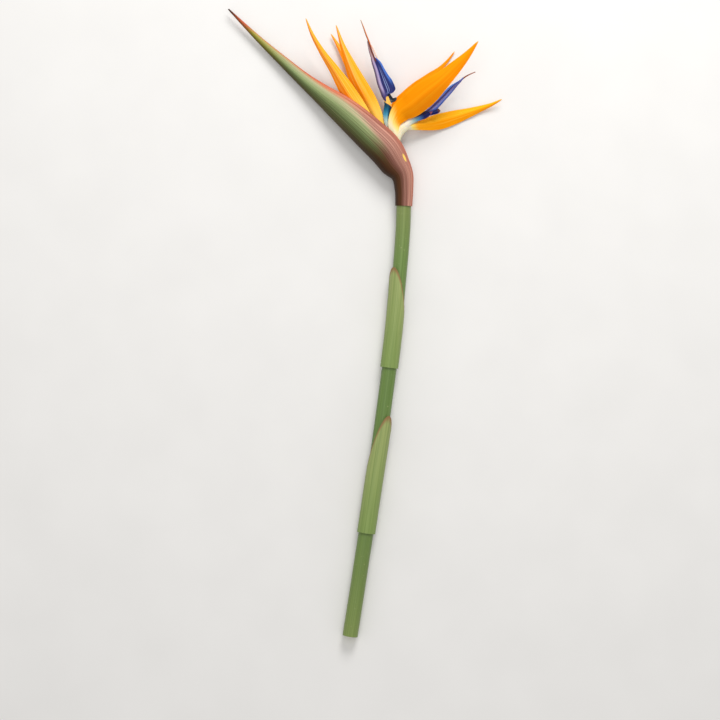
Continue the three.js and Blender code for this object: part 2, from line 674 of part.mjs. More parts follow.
// Each piece of a floret is trimmed to clear the stem and the pieces placed before it.
const tubeRooms = [];
for (const [name, floret] of Object.entries(florets)) {
  const pieces = new THREE.Group();
  const rooms = [stemRoom, ...tubeRooms];
  const place = (piece, slot, form, attachedAt) => {
    pieces.add(pieceOf(piece, trimmed(form(), ...rooms, underSurface), slot, attachedAt));
    rooms.push(form(CLEARANCE));
  };
  place(`${name}_tube`, "floret_tube", (grow) => stalk(floret.tube, { grow }), floret.tube[0]);
  tubeRooms.push(rooms.at(-1));
  place(`${name}_arrow`, "arrow", (grow) => arrow(floret, grow), floret.claw[0]);
  for (const [piece, stations] of Object.entries(floret.sepals))
    place(piece, "sepal", (grow) => sepal(stations, grow), stations[0]);
  const { smallPetal, stamens, style } = floret;
  place(`${name}_small_petal`, "small_petal", (grow) => petal(smallPetal, grow), smallPetal[0]);
  const bundle = (grow) => stalk(stamens, { sides: 2 * STAMENS, flute: 0.16, spacing: 6, grow });
  place(`${name}_stamens`, "stamens", bundle, stamens[0]);
  place(`${name}_style`, "style", (grow) => stalk(style, { sides: 6, grow }), style[0]);
  flower.add(pieces);
}

for (const [name, stations] of Object.entries(budStations))
  flower.add(pieceOf(name, trimmed(stalk(stations), stemRoom, ...tubeRooms), "bud", stations[0]));

export default flower;
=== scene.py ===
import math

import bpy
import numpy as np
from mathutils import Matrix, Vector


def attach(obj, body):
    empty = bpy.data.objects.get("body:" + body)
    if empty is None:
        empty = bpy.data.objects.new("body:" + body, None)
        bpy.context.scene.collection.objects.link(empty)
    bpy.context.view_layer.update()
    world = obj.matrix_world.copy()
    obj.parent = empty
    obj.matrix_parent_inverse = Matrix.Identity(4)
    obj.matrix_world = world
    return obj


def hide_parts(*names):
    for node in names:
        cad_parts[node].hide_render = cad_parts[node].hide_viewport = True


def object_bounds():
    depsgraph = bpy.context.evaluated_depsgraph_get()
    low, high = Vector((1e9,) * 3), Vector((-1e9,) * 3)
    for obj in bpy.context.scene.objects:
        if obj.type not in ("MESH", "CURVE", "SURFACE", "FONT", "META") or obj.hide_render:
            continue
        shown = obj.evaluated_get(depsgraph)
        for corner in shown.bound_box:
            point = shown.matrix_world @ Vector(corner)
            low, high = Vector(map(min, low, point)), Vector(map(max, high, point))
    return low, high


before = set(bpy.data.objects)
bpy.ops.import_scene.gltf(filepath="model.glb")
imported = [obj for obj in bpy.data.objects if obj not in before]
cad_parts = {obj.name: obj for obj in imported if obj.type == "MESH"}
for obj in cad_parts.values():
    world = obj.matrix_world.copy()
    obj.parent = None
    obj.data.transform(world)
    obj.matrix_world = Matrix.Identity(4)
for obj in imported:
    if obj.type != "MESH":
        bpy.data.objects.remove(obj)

# The looks of a single cut bird of paradise flower, lying on its side on a pale floor.
#
# Lengths are millimetres until a mesh is made. Each piece is drawn smoothly through its solid's
# stations, a few of them moved by a millimetre or two, with more points, thinner edges and its own
# material. The stations' origin is FOOTPRINT_MIDDLE away from the frame's.

cad_low, cad_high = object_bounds()

MM = 0.001
FOOTPRINT_MIDDLE = np.array([0.5, 3.5, 0.0])
UP = np.array([0.0, 0.0, 1.0])
SHARP_FROM = 60  # degrees between two faces, above which their shared edge is drawn sharp

# ---------------------------------------------------------------- stations

# From the beak's tip to the collar round the stem:
# [x, y, z, half height, half thickness, half gap between the lips, pinch of the upper edge]
SPATHE = [
    [-115.9, 270.9, 7.0, 0.6, 0.6, 0.2, 0.2],
    [-100.9, 256.0, 6.4, 1.8, 1.7, 0.2, 0.25],
    [-88.1, 243.6, 6.0, 2.8, 2.6, 0.2, 0.3],
    [-72.4, 229.3, 6.0, 4.2, 3.9, 0.2, 0.35],
    [-47.3, 207.1, 7.0, 6.8, 6.2, 1.6, 0.35],
    [-34.5, 196.8, 8.2, 8.8, 7.6, 3.6, 0.35],
    [-21.8, 186.8, 9.8, 11.2, 9.6, 5.4, 0.35],
    [3.8, 164.1, 12.0, 13.9, 12.0, 6.6, 0.35],
    [18.8, 149.2, 11.9, 14.2, 11.8, 6.2, 0.35],
    [26.2, 138.3, 11.1, 12.6, 10.8, 2.4, 0.3],
    [31.8, 130.2, 10.0, 9.7, 9.4, 0.2, 0.2],
    [33.6, 116.7, 9.1, 7.9, 7.9, 0.2, 0.08],
    [33.4, 103.1, 8.6, 7.2, 7.2, 0.2, 0.0],
]

# From the growing point inside the spathe to the cut: [x, y, z, radius]
STEM = [
    [26.4, 137.8, 11.0, 4.4],
    [30.6, 129.3, 10.3, 5.4],
    [33.4, 116.7, 9.4, 6.1],
    [33.4, 103.1, 8.8, 6.2],
    [28.5, 31.5, 9.4, 6.2],
    [17.5, -62.1, 9.4, 6.3],
    [3.0, -164.3, 8.5, 6.4],
    [-12.3, -263.3, 6.3, 6.5],
]

# How far along the stem, from 0 to 1, each leaf base starts and its upper edge has its shoulder and
# its point, and the side that the point is on, in degrees from straight up.
SHEATHS = {
    "stem_sheath_upper": {"base": 0.43, "shoulder": 0.33, "point": 0.22, "side": 38},
    "stem_sheath_lower": {"base": 0.78, "shoulder": 0.66, "point": 0.53, "side": -34},
}

# [x, y, z, radius]
BUDS = {
    "bud_1": [
        [23.0, 139.0, 8.4, 2.4],
        [14.0, 148.0, 7.8, 3.8],
        [2.0, 159.5, 7.8, 4.1],
        [-14.0, 173.0, 8.0, 3.7],
        [-34.0, 191.5, 7.6, 2.6],
        [-56.0, 211.0, 7.0, 0.5],
    ],
    "bud_2": [
        [21.0, 138.0, 13.4, 2.0],
        [10.0, 148.6, 15.2, 3.1],
        [-2.0, 158.6, 14.8, 2.9],
        [-16.0, 171.5, 13.0, 1.9],
        [-30.0, 184.6, 10.8, 0.4],
    ],
}

# tube, stamens, style: [x, y, z, half width, half height], or a radius where it is round
# claw, small_petal and sepals: [x, y, z, half width, fold, cup, roll in degrees]
# head: [x, y, z, width of the arched limb, width of the wing, height of the arch, slope of the
# wing, how far the wing's edge is swept back to the claw]
# arched: 1 where the head's arched limb is on its right, -1 where it is on its left
FLORETS = {
    "floret_1": {
        "tube": [
            [28.6, 134.0, 11.4, 2.6, 2.6],
            [28.0, 141.6, 11.7, 3.4, 3.4],
            [26.9, 150.4, 12.0, 3.6, 3.6],
            [26.6, 158.9, 12.0, 4.1, 3.8],
            [29.2, 166.3, 12.0, 4.7, 3.8],
            [34.6, 170.7, 12.0, 4.5, 3.6],
            [40.5, 172.0, 11.6, 3.6, 2.6],
            [46.0, 172.4, 10.6, 2.2, 1.2],
        ],
        "sepals": {
            "near": [
                [26.6, 155.6, 15.4, 1.6, 0.1, 0.0, 0],
                [25.4, 163.8, 16.6, 3.2, 0.1, 0.0, 0],
                [25.4, 172.8, 17.6, 5.4, 0.15, 0.05, -4],
                [29.8, 180.4, 19.8, 8.3, 0.2, 0.08, -8],
                [39.8, 187.0, 25.5, 10.7, 0.22, 0.1, -12],
                [52.8, 197.1, 32.5, 10.8, 0.2, 0.08, -12],
                [64.2, 206.1, 37.0, 7.8, 0.2, 0.05, -8],
                [76.1, 217.4, 39.5, 5.4, 0.25, 0.0, -4],
                [86.6, 228.3, 41.0, 2.9, 0.3, 0.0, 0],
                [95.3, 239.1, 41.5, 0.4, 0.3, 0.0, 0],
            ],
            "far": [
                [26.4, 162.5, 7.0, 2.0, 0.0, 0.0, 0],
                [26.0, 175.6, 6.4, 4.2, 0.0, -0.06, 0],
                [29.4, 186.0, 5.2, 7.6, 0.0, -0.12, 0],
                [38.8, 193.8, 4.2, 9.3, 0.0, -0.14, 0],
                [48.2, 202.4, 3.4, 8.8, 0.0, -0.14, 0],
                [57.0, 212.7, 2.8, 5.1, 0.0, -0.13, 0],
                [64.4, 220.7, 2.4, 1.9, 0.0, -0.1, 0],
                [70.0, 226.4, 2.0, 1.2, 0.0, -0.05, 0],
                [77.1, 235.6, 1.6, 0.4, 0.0, 0.0, 0],
            ],
            "outer": [
                [35.5, 170.6, 14.2, 3.4, 0.3, 0.0, 0],
                [40.0, 171.3, 14.0, 3.8, 0.35, 0.0, 0],
                [45.0, 171.9, 12.3, 4.2, 0.4, 0.0, 2],
                [49.2, 172.4, 10.4, 4.6, 0.45, 0.05, 4],
                [56.0, 173.8, 7.8, 5.8, 0.5, 0.05, 6],
                [65.3, 176.3, 4.9, 6.8, 0.5, 0.05, 6],
                [76.4, 179.5, 3.8, 6.0, 0.5, 0.05, 6],
                [87.5, 182.8, 3.4, 4.3, 0.5, 0.05, 4],
                [98.6, 186.4, 3.8, 2.6, 0.5, 0.0, 0],
                [108.8, 190.1, 4.9, 1.4, 0.4, 0.0, 0],
                [117.2, 194.2, 6.6, 0.4, 0.3, 0.0, 0],
            ],
        },
        "claw": [
            [31.0, 167.0, 13.6, 2.0, 0.2, 0.1, 0],
            [35.0, 171.2, 15.6, 2.2, 0.25, 0.1, 0],
            [41.0, 175.4, 16.2, 2.3, 0.3, 0.1, 0],
            [47.0, 178.2, 16.1, 2.7, 0.35, 0.1, 0],
            [51.3, 180.0, 16.0, 3.0, 0.35, 0.1, 0],
            [55.0, 182.2, 16.0, 2.2, 0.35, 0.1, 0],
        ],
        "head": [
            [49.3, 180.4, 15.2, 0.8, 0.6, 0.6, -0.8, 0],
            [53.4, 183.2, 15.4, 1.4, 1.4, 0.9, -0.9, 0],
            [57.0, 185.8, 15.8, 2.8, 2.2, 1.3, -0.9, 0],
            [59.5, 188.1, 16.1, 3.7, 2.6, 1.6, -0.9, 0],
            [62.2, 190.5, 16.5, 3.5, 2.8, 1.7, -0.9, 0],
            [66.2, 194.2, 17.1, 2.9, 2.9, 1.6, -0.9, 0],
            [70.5, 198.5, 17.9, 2.6, 2.9, 1.5, -0.9, 0],
            [74.6, 202.7, 18.8, 2.2, 2.5, 1.3, -0.8, 0],
            [77.6, 205.3, 19.6, 1.5, 1.7, 1.0, -0.7, 0],
            [80.8, 208.0, 20.5, 1.0, 0.9, 0.6, -0.5, 0],
            [83.6, 210.8, 21.5, 0.5, 0.4, 0.2, 0.0, 0],
        ],
        "arched": 1,
        "stamens": [
            [48.0, 178.9, 14.5, 0.5],
            [53.2, 181.9, 14.4, 0.7],
            [57.4, 184.4, 14.6, 0.7],
            [60.8, 186.9, 15.2, 0.7],
            [63.4, 189.3, 15.7, 0.7],
            [67.2, 193.2, 16.3, 0.7],
            [71.4, 197.6, 17.0, 0.7],
            [75.2, 201.8, 17.8, 0.6],
            [78.0, 204.6, 18.4, 0.45],
        ],
        "style": [
            [79.0, 206.4, 18.6, 0.5],
            [81.6, 208.6, 19.4, 0.6],
            [84.6, 211.1, 20.7, 0.6],
            [88.8, 213.4, 22.0, 0.5],
            [93.7, 215.4, 22.8, 0.35],
        ],
        "small_petal": [
            [51.0, 179.4, 13.2, 1.0, -0.2, -0.1, 0],
            [55.0, 181.0, 12.8, 1.4, -0.3, -0.2, 0],
            [59.2, 182.2, 12.6, 1.8, -0.3, -0.3, 6],
            [62.2, 183.4, 12.6, 2.1, -0.3, -0.3, 10],
            [64.4, 183.9, 12.7, 0.9, -0.2, -0.2, 10],
        ],
    },
    "floret_2": {
        "tube": [
            [24.4, 135.4, 11.4, 2.2],
            [21.2, 142.0, 11.7, 2.8],
            [19.6, 149.6, 12.0, 3.0],
            [19.5, 156.4, 12.0, 2.6],
        ],
        "sepals": {
            "near": [
                [19.2, 150.6, 15.7, 1.8, 0.2, 0.0, 0],
                [9.0, 164.6, 15.0, 4.4, 0.3, 0.0, 8],
                [-3.8, 183.2, 14.4, 6.6, 0.35, 0.05, 14],
                [-14.9, 200.1, 16.4, 6.6, 0.4, 0.05, 14],
                [-26.2, 218.3, 20.6, 4.1, 0.5, 0.0, 8],
                [-36.8, 233.9, 24.8, 2.4, 0.6, 0.0, 0],
                [-44.3, 247.0, 28.0, 1.4, 0.6, 0.0, 0],
                [-49.6, 260.0, 30.0, 0.4, 0.3, 0.0, 0],
            ],
            "middle": [
                [18.6, 156.6, 12.2, 1.2, 0.2, 0.0, 0],
                [14.4, 164.4, 11.2, 3.4, 0.3, 0.0, 10],
                [10.6, 175.9, 11.2, 5.6, 0.35, 0.05, 14],
                [5.5, 186.8, 12.2, 6.8, 0.4, 0.05, 16],
                [-0.9, 198.4, 14.2, 7.2, 0.4, 0.05, 16],
                [-7.6, 210.9, 17.0, 6.2, 0.45, 0.0, 12],
                [-13.6, 225.0, 19.8, 4.2, 0.5, 0.0, 6],
                [-18.4, 237.5, 21.8, 2.2, 0.5, 0.0, 0],
                [-24.1, 255.1, 23.6, 0.4, 0.3, 0.0, 0],
            ],
            "far": [
                [19.4, 151.0, 8.2, 1.6, 0.0, 0.0, 0],
                [13.2, 169.6, 7.2, 3.6, 0.05, 0.0, 0],
                [3.8, 191.8, 5.8, 5.8, 0.05, 0.0, 0],
                [-6.4, 212.4, 4.8, 5.4, 0.1, 0.0, 0],
                [-15.8, 228.7, 4.2, 3.2, 0.1, 0.0, 0],
                [-22.2, 239.8, 3.8, 1.7, 0.1, 0.0, 0],
                [-28.7, 250.4, 3.4, 0.4, 0.1, 0.0, 0],
            ],
        },
        "claw": [
            [20.4, 154.5, 12.0, 1.2, 0.2, 0.1, 0],
            [19.8, 165.7, 12.2, 1.3, 0.3, 0.1, 0],
            [19.5, 171.2, 12.5, 1.6, 0.35, 0.1, 0],
            [18.9, 175.0, 12.8, 2.2, 0.4, 0.1, 0],
            [18.9, 178.8, 13.2, 2.9, 0.4, 0.1, 0],
            [19.4, 183.4, 13.8, 3.3, 0.4, 0.1, 0],
            [19.9, 187.2, 14.4, 3.1, 0.4, 0.1, 0],
            [19.3, 191.0, 15.0, 2.5, 0.4, 0.1, 0],
            [18.2, 195.2, 15.6, 1.9, 0.4, 0.1, 0],
        ],
        "head": [
            [19.1, 191.3, 14.1, 1.6, 0.8, 0.7, 0.1, 0],
            [19.0, 193.4, 14.4, 2.8, 0.8, 1.1, 0.1, 0],
            [18.7, 196.0, 14.8, 3.9, 0.8, 1.5, 0.1, 0],
            [18.4, 197.9, 15.1, 4.3, 1.6, 1.6, 0.1, 0.6],
            [18.0, 199.4, 15.2, 4.3, 5.4, 1.7, 0.1, 2.6],
            [17.6, 200.4, 15.4, 4.3, 8.0, 1.7, 0.12, 2.4],
            [16.9, 202.2, 15.5, 4.3, 8.8, 1.8, 0.14, 1.4],
            [15.9, 204.6, 15.7, 4.3, 8.8, 1.8, 0.16, 0.5],
            [15.0, 207.2, 15.9, 4.3, 8.4, 1.9, 0.18, 0],
            [13.6, 212.2, 16.2, 4.1, 6.6, 1.8, 0.2, 0],
            [12.0, 217.6, 16.6, 3.8, 5.0, 1.7, 0.2, 0],
            [10.6, 221.4, 16.8, 3.6, 4.4, 1.6, 0.2, 0],
            [9.2, 224.6, 17.0, 3.2, 3.5, 1.5, 0.2, 0],
            [8.4, 226.6, 17.2, 2.8, 2.4, 1.3, 0.15, 0],
            [7.7, 228.4, 17.3, 2.4, 1.0, 1.1, 0.1, 0],
            [7.0, 230.2, 17.4, 2.1, 0.5, 1.0, 0.0, 0],
            [5.8, 233.0, 17.6, 1.8, 0.5, 0.8, 0.0, 0],
            [4.2, 237.4, 17.9, 1.2, 0.4, 0.5, 0.0, 0],
            [2.7, 242.7, 18.2, 0.5, 0.4, 0.2, 0.0, 0],
        ],
        "arched": -1,
        "stamens": [
            [19.5, 182.7, 12.2, 0.5],
            [19.4, 189.4, 13.2, 0.7],
            [17.0, 196.3, 13.9, 0.75],
            [14.6, 203.4, 14.6, 0.75],
            [12.6, 210.0, 15.0, 0.75],
            [11.2, 217.6, 15.2, 0.75],
            [10.8, 223.6, 15.3, 0.75],
            [11.0, 227.2, 15.9, 0.75],
            [9.7, 230.4, 17.2, 0.7],
            [7.9, 234.3, 17.5, 0.6],
            [5.6, 238.8, 17.9, 0.35],
        ],
        "style": [
            [9.5, 225.0, 18.4, 0.4],
            [7.9, 229.6, 18.9, 0.55],
            [6.1, 234.2, 19.3, 0.6],
            [4.0, 240.8, 19.6, 0.7],
            [1.4, 247.2, 19.8, 0.65],
            [-0.9, 253.6, 20.1, 0.5],
            [-3.2, 259.8, 20.4, 0.35],
        ],
        "small_petal": [
            [20.6, 198.1, 12.4, 1.2, -0.2, -0.1, 0],
            [21.3, 195.1, 12.4, 1.9, -0.3, -0.2, 0],
            [22.8, 192.9, 12.6, 2.2, -0.3, -0.3, 0],
            [25.0, 192.9, 12.9, 1.6, -0.3, -0.3, 0],
            [27.2, 194.7, 13.2, 0.7, -0.2, -0.1, 0],
        ],
    },
}

# ---------------------------------------------------------------- lines through stations


def lerp(a, b, t):
    return a + (b - a) * t


def ease(value, low, high):
    """0 below low and 1 above high, smooth between them."""
    t = np.clip((value - low) / (high - low), 0.0, 1.0)
    return t * t * (3 - 2 * t)


class Line:
    """A smooth line through stations, with whatever else each station says about its section."""

    def __init__(self, stations):
        self.stations = np.array(stations, float)
        gaps = np.linalg.norm(np.diff(self.stations[:, :3], axis=0), axis=1)
        self.run = np.concatenate([[0.0], np.cumsum(gaps)])
        self.length = self.run[-1]
        rise = np.diff(self.stations, axis=0) / gaps[:, None]
        before, after = gaps[:-1, None], gaps[1:, None]
        inner = (rise[:-1] * after + rise[1:] * before) / (before + after)
        self.slopes = np.vstack([rise[:1], inner, rise[-1:]])

    def at(self, t):
        """Every column of the stations at each t, where t runs from 0 to 1."""
        run = np.clip(np.asarray(t, float), 0, 1) * self.length
        i = np.clip(np.searchsorted(self.run, run, side="right") - 1, 0, len(self.run) - 2)
        span = (self.run[i + 1] - self.run[i])[..., None]
        f = (run - self.run[i])[..., None] / span
        return (
            self.stations[i] * (2 * f**3 - 3 * f**2 + 1)
            + self.slopes[i] * span * (f**3 - 2 * f**2 + f)
            + self.stations[i + 1] * (3 * f**2 - 2 * f**3)
            + self.slopes[i + 1] * span * (f**3 - f**2)
        )

    def frames(self, t):
        """The centre at each t, and the directions to the line's right, upwards and along it."""
        step = 0.025  # wide enough for the directions to turn smoothly at a station
        along = self.at(np.minimum(t + step, 1))[:, :3] - self.at(np.maximum(t - step, 0))[:, :3]
        along /= np.linalg.norm(along, axis=1, keepdims=True)
        right = np.cross(along, UP)
        right /= np.linalg.norm(right, axis=1, keepdims=True)
        return self.at(t)[:, :3], right, np.cross(right, along), along


def place(frames, side, height, back=0.0):
    """Points of each frame, at distances to its right, upwards and back along the line."""
    centre, right, upward, along = (part[:, None, :] for part in frames)
    back = np.broadcast_to(back, side.shape)
    level = centre + right * side[..., None]
    return level + upward * height[..., None] - along * back[..., None]


# ---------------------------------------------------------------- meshes


def grid_faces(rows, columns, first=0, closed=False, flip=False):
    """Four-sided faces of a grid of points numbered row by row."""
    faces = []
    for r in range(rows - 1):
        for c in range(columns if closed else columns - 1):
            d = (c + 1) % columns
            a, b = first + r * columns, first + (r + 1) * columns
            face = (a + c, a + d, b + d, b + c)
            faces.append(face[::-1] if flip else face)
    return faces


def add_piece(name, made, paints, node, material_of=None):
    """A mesh on the flower's body that stands for a node, made of (points, faces, values), where
    the values are numbers kept at each point for its paints."""
    points, faces, values = made
    points = (np.asarray(points) - FOOTPRINT_MIDDLE) * MM
    points = np.clip(points, cad_low, cad_high)
    mesh = bpy.data.meshes.new(name)
    mesh.from_pydata(points.tolist(), [], faces)
    for key, value in values.items():
        kind, field = ("FLOAT_VECTOR", "vector") if np.ndim(value) == 2 else ("FLOAT", "value")
        attribute = mesh.attributes.new(key, kind, "POINT")
        attribute.data.foreach_set(field, np.ravel(value).astype(np.float32))
    for paint in paints:
        mesh.materials.append(paint)
    if material_of is not None:
        mesh.polygons.foreach_set("material_index", np.asarray(material_of, np.int32))
    mesh.shade_smooth()
    mesh.set_sharp_from_angle(angle=math.radians(SHARP_FROM))
    mesh.validate()
    mesh.update()
    piece = bpy.data.objects.new(name, mesh)
    bpy.context.scene.collection.objects.link(piece)
    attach(piece, "root")
    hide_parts(node)


def leaf_mesh(front, back, along, across):
    """A thin closed leaf between two grids of points, as (points, faces, values)."""
    rows, columns = front.shape[:2]
    count = rows * columns
    points = np.concatenate([front.reshape(-1, 3), back.reshape(-1, 3)])
    faces = grid_faces(rows, columns) + grid_faces(rows, columns, count, flip=True)
    rim = [r * columns for r in range(rows)]
    rim += [(rows - 1) * columns + c for c in range(1, columns)]
    rim += [r * columns + columns - 1 for r in range(rows - 2, -1, -1)]
    rim += range(columns - 2, 0, -1)
    for a, b in zip(rim, rim[1:] + rim[:1]):
        faces.append((a, b, b + count, a + count))
    t = np.broadcast_to(along[:, None], (rows, columns)).ravel()
    v = np.broadcast_to(across, (rows, columns)).ravel()
    side = np.repeat([1.0, -1.0], count)
    t, v = np.tile(t, 2), np.tile(v, 2)
    faces_apart = 0.35  # so that the back has streaks of its own
    grain = np.stack([v, faces_apart * side, t], axis=1)
    return points, faces, {"along": t, "across": v, "side": side, "grain": grain}


def joined(*parts):
    """Several (points, faces, values) as one."""
    points, faces, first = [], [], 0
    for part_points, part_faces, _ in parts:
        points.append(part_points)
        faces += [tuple(i + first for i in face) for face in part_faces]
        first += len(part_points)
    values = {key: np.concatenate([part[2][key] for part in parts]) for key in parts[0][2]}
    return np.concatenate(points), faces, values


def sheet(stations, section, rows, columns, middle, edge, tip=0.0):
    """A leaf of tissue. section(v, station, t) gives [to the right, upwards, back] for v from -1,
    the left edge, to 1, the right edge. The last part of its length, tip, is drawn to a point."""
    nudge, least_width, least_thickness = 1e-3, 0.2, 0.4
    line = Line(stations)
    t = np.linspace(0, 1, rows)
    row, v = t[:, None], np.linspace(-1, 1, columns + 1)[None, :]
    station = [column[:, None] for column in line.at(t).T[3:]]
    if tip:
        station[0] = station[0] * np.sqrt(np.clip((1 - row) / tip, least_width**2, 1))
    frames = line.frames(t)
    side, height, back = section(v, station, row)
    side_before, height_before, _ = section(v - nudge, station, row)
    side_after, height_after, _ = section(v + nudge, station, row)
    directions = (np.zeros_like(frames[0]), *frames[1:])  # with no centre
    normal = place(directions, height_before - height_after, side_after - side_before)
    normal /= np.linalg.norm(normal, axis=2, keepdims=True)
    thickness = np.broadcast_to(lerp(middle, edge, np.abs(v) ** 1.5), side.shape)
    if tip:
        thickness = thickness * lerp(1, least_thickness, ease(row, 1 - 3 * tip, 1))
    half = normal * thickness[..., None] / 2
    centre = place(frames, side, height, back)
    return leaf_mesh(centre + half, centre - half, t, v)


def stalk(stations, rows, sides, flute=0, lobes=0, ripple=None):
    """A solid stalk with an oval section, fluted between its lobes and swollen by its ripple."""
    line = Line(stations)
    t = np.linspace(0, 1, rows)
    angle = (2 * np.pi * np.arange(sides) / sides)[None, :]
    half_width, half_height = line.at(t)[:, 3:4], line.at(t)[:, -1:]
    swell = 1 - flute * (0.5 + 0.5 * np.cos(lobes * angle)) ** 2
    if ripple is not None:
        swell = swell * ripple(t[:, None], angle)
    side, height = half_width * swell * np.sin(angle), half_height * swell * np.cos(angle)
    points = place(line.frames(t), side, height)
    ends = np.stack([points[0].mean(axis=0), points[-1].mean(axis=0)])
    faces = grid_faces(rows, sides, closed=True)
    first, last = rows * sides, rows * sides + 1
    for k in range(sides):
        n = (k + 1) % sides
        faces += [(first, n, k), (last, (rows - 1) * sides + k, (rows - 1) * sides + n)]
    whole = np.concatenate([points.reshape(-1, 3), ends])
    along = np.append(np.repeat(t, sides), [0, 1])
    across = np.append(np.tile(np.sin(angle[0]), rows), [0, 0])
    upward = np.append(np.tile(np.cos(angle[0]), rows), [0, 0])
    grain = np.stack([across, upward, along], axis=1)
    return whole, faces, {"along": along, "across": across, "side": upward, "grain": grain}


# ---------------------------------------------------------------- sections


def blade_section(ruffle=0.0, waves=0.0, clasp=0.0):
    """The section of a blade folded along its keel, cupped and rolled, with a ruffled edge. Its
    foot clasps what it grows from."""
    keel, clasp_to, out_of_step = 0.12, 0.16, 1.3

    def section(v, station, t):
        half, fold, cup, roll = station
        grip = clasp * (1 - ease(t, 0, clasp_to))
        wave = ruffle * np.sin(2 * np.pi * waves * t + out_of_step * np.sign(v))
        wave = wave * np.abs(v) ** 3 * ease(half, 1, 4)
        side = half * v
        height = -half * (fold * (np.hypot(v, keel) - keel) + (cup + grip) * v * v) + wave
        turn = np.radians(roll)
        right = side * np.cos(turn) - height * np.sin(turn)
        return right, side * np.sin(turn) + height * np.cos(turn), 0.0

    return section


def head_section(arched):
    """The arrow's head: an arched limb on one side of the groove and a hollow wing on the other,
    with two low ridges beside the groove."""
    hollow, ridge_height, ridges_to = 0.12, 0.022, 0.62  # in wing widths

    def section(v, station, t):
        limb, wing, arch, slope, sweep = station
        across = np.abs(v)
        ridge = ridge_height * np.sin(2 * np.pi * np.clip(across / ridges_to, 0, 1)) ** 2
        arch_height = arch * np.sin(np.pi * across)
        wing_height = wing * (slope * across - hollow * np.sin(np.pi * across) + ridge)
        on_limb = v * arched > 0
        right = np.where(on_limb, v * limb, v * wing)
        upward = np.where(on_limb, arch_height, wing_height)
        return right, upward, np.where(on_limb, 0.0, sweep * across)

    return section


# ---------------------------------------------------------------- materials


def rgb(code):
    """A screen colour such as #ff9900 as the linear colour that shaders take."""
    parts = [int(code[i : i + 2], 16) / 255 for i in (1, 3, 5)]
    return (*[p / 12.92 if p <= 0.04045 else ((p + 0.055) / 1.055) ** 2.4 for p in parts], 1.0)


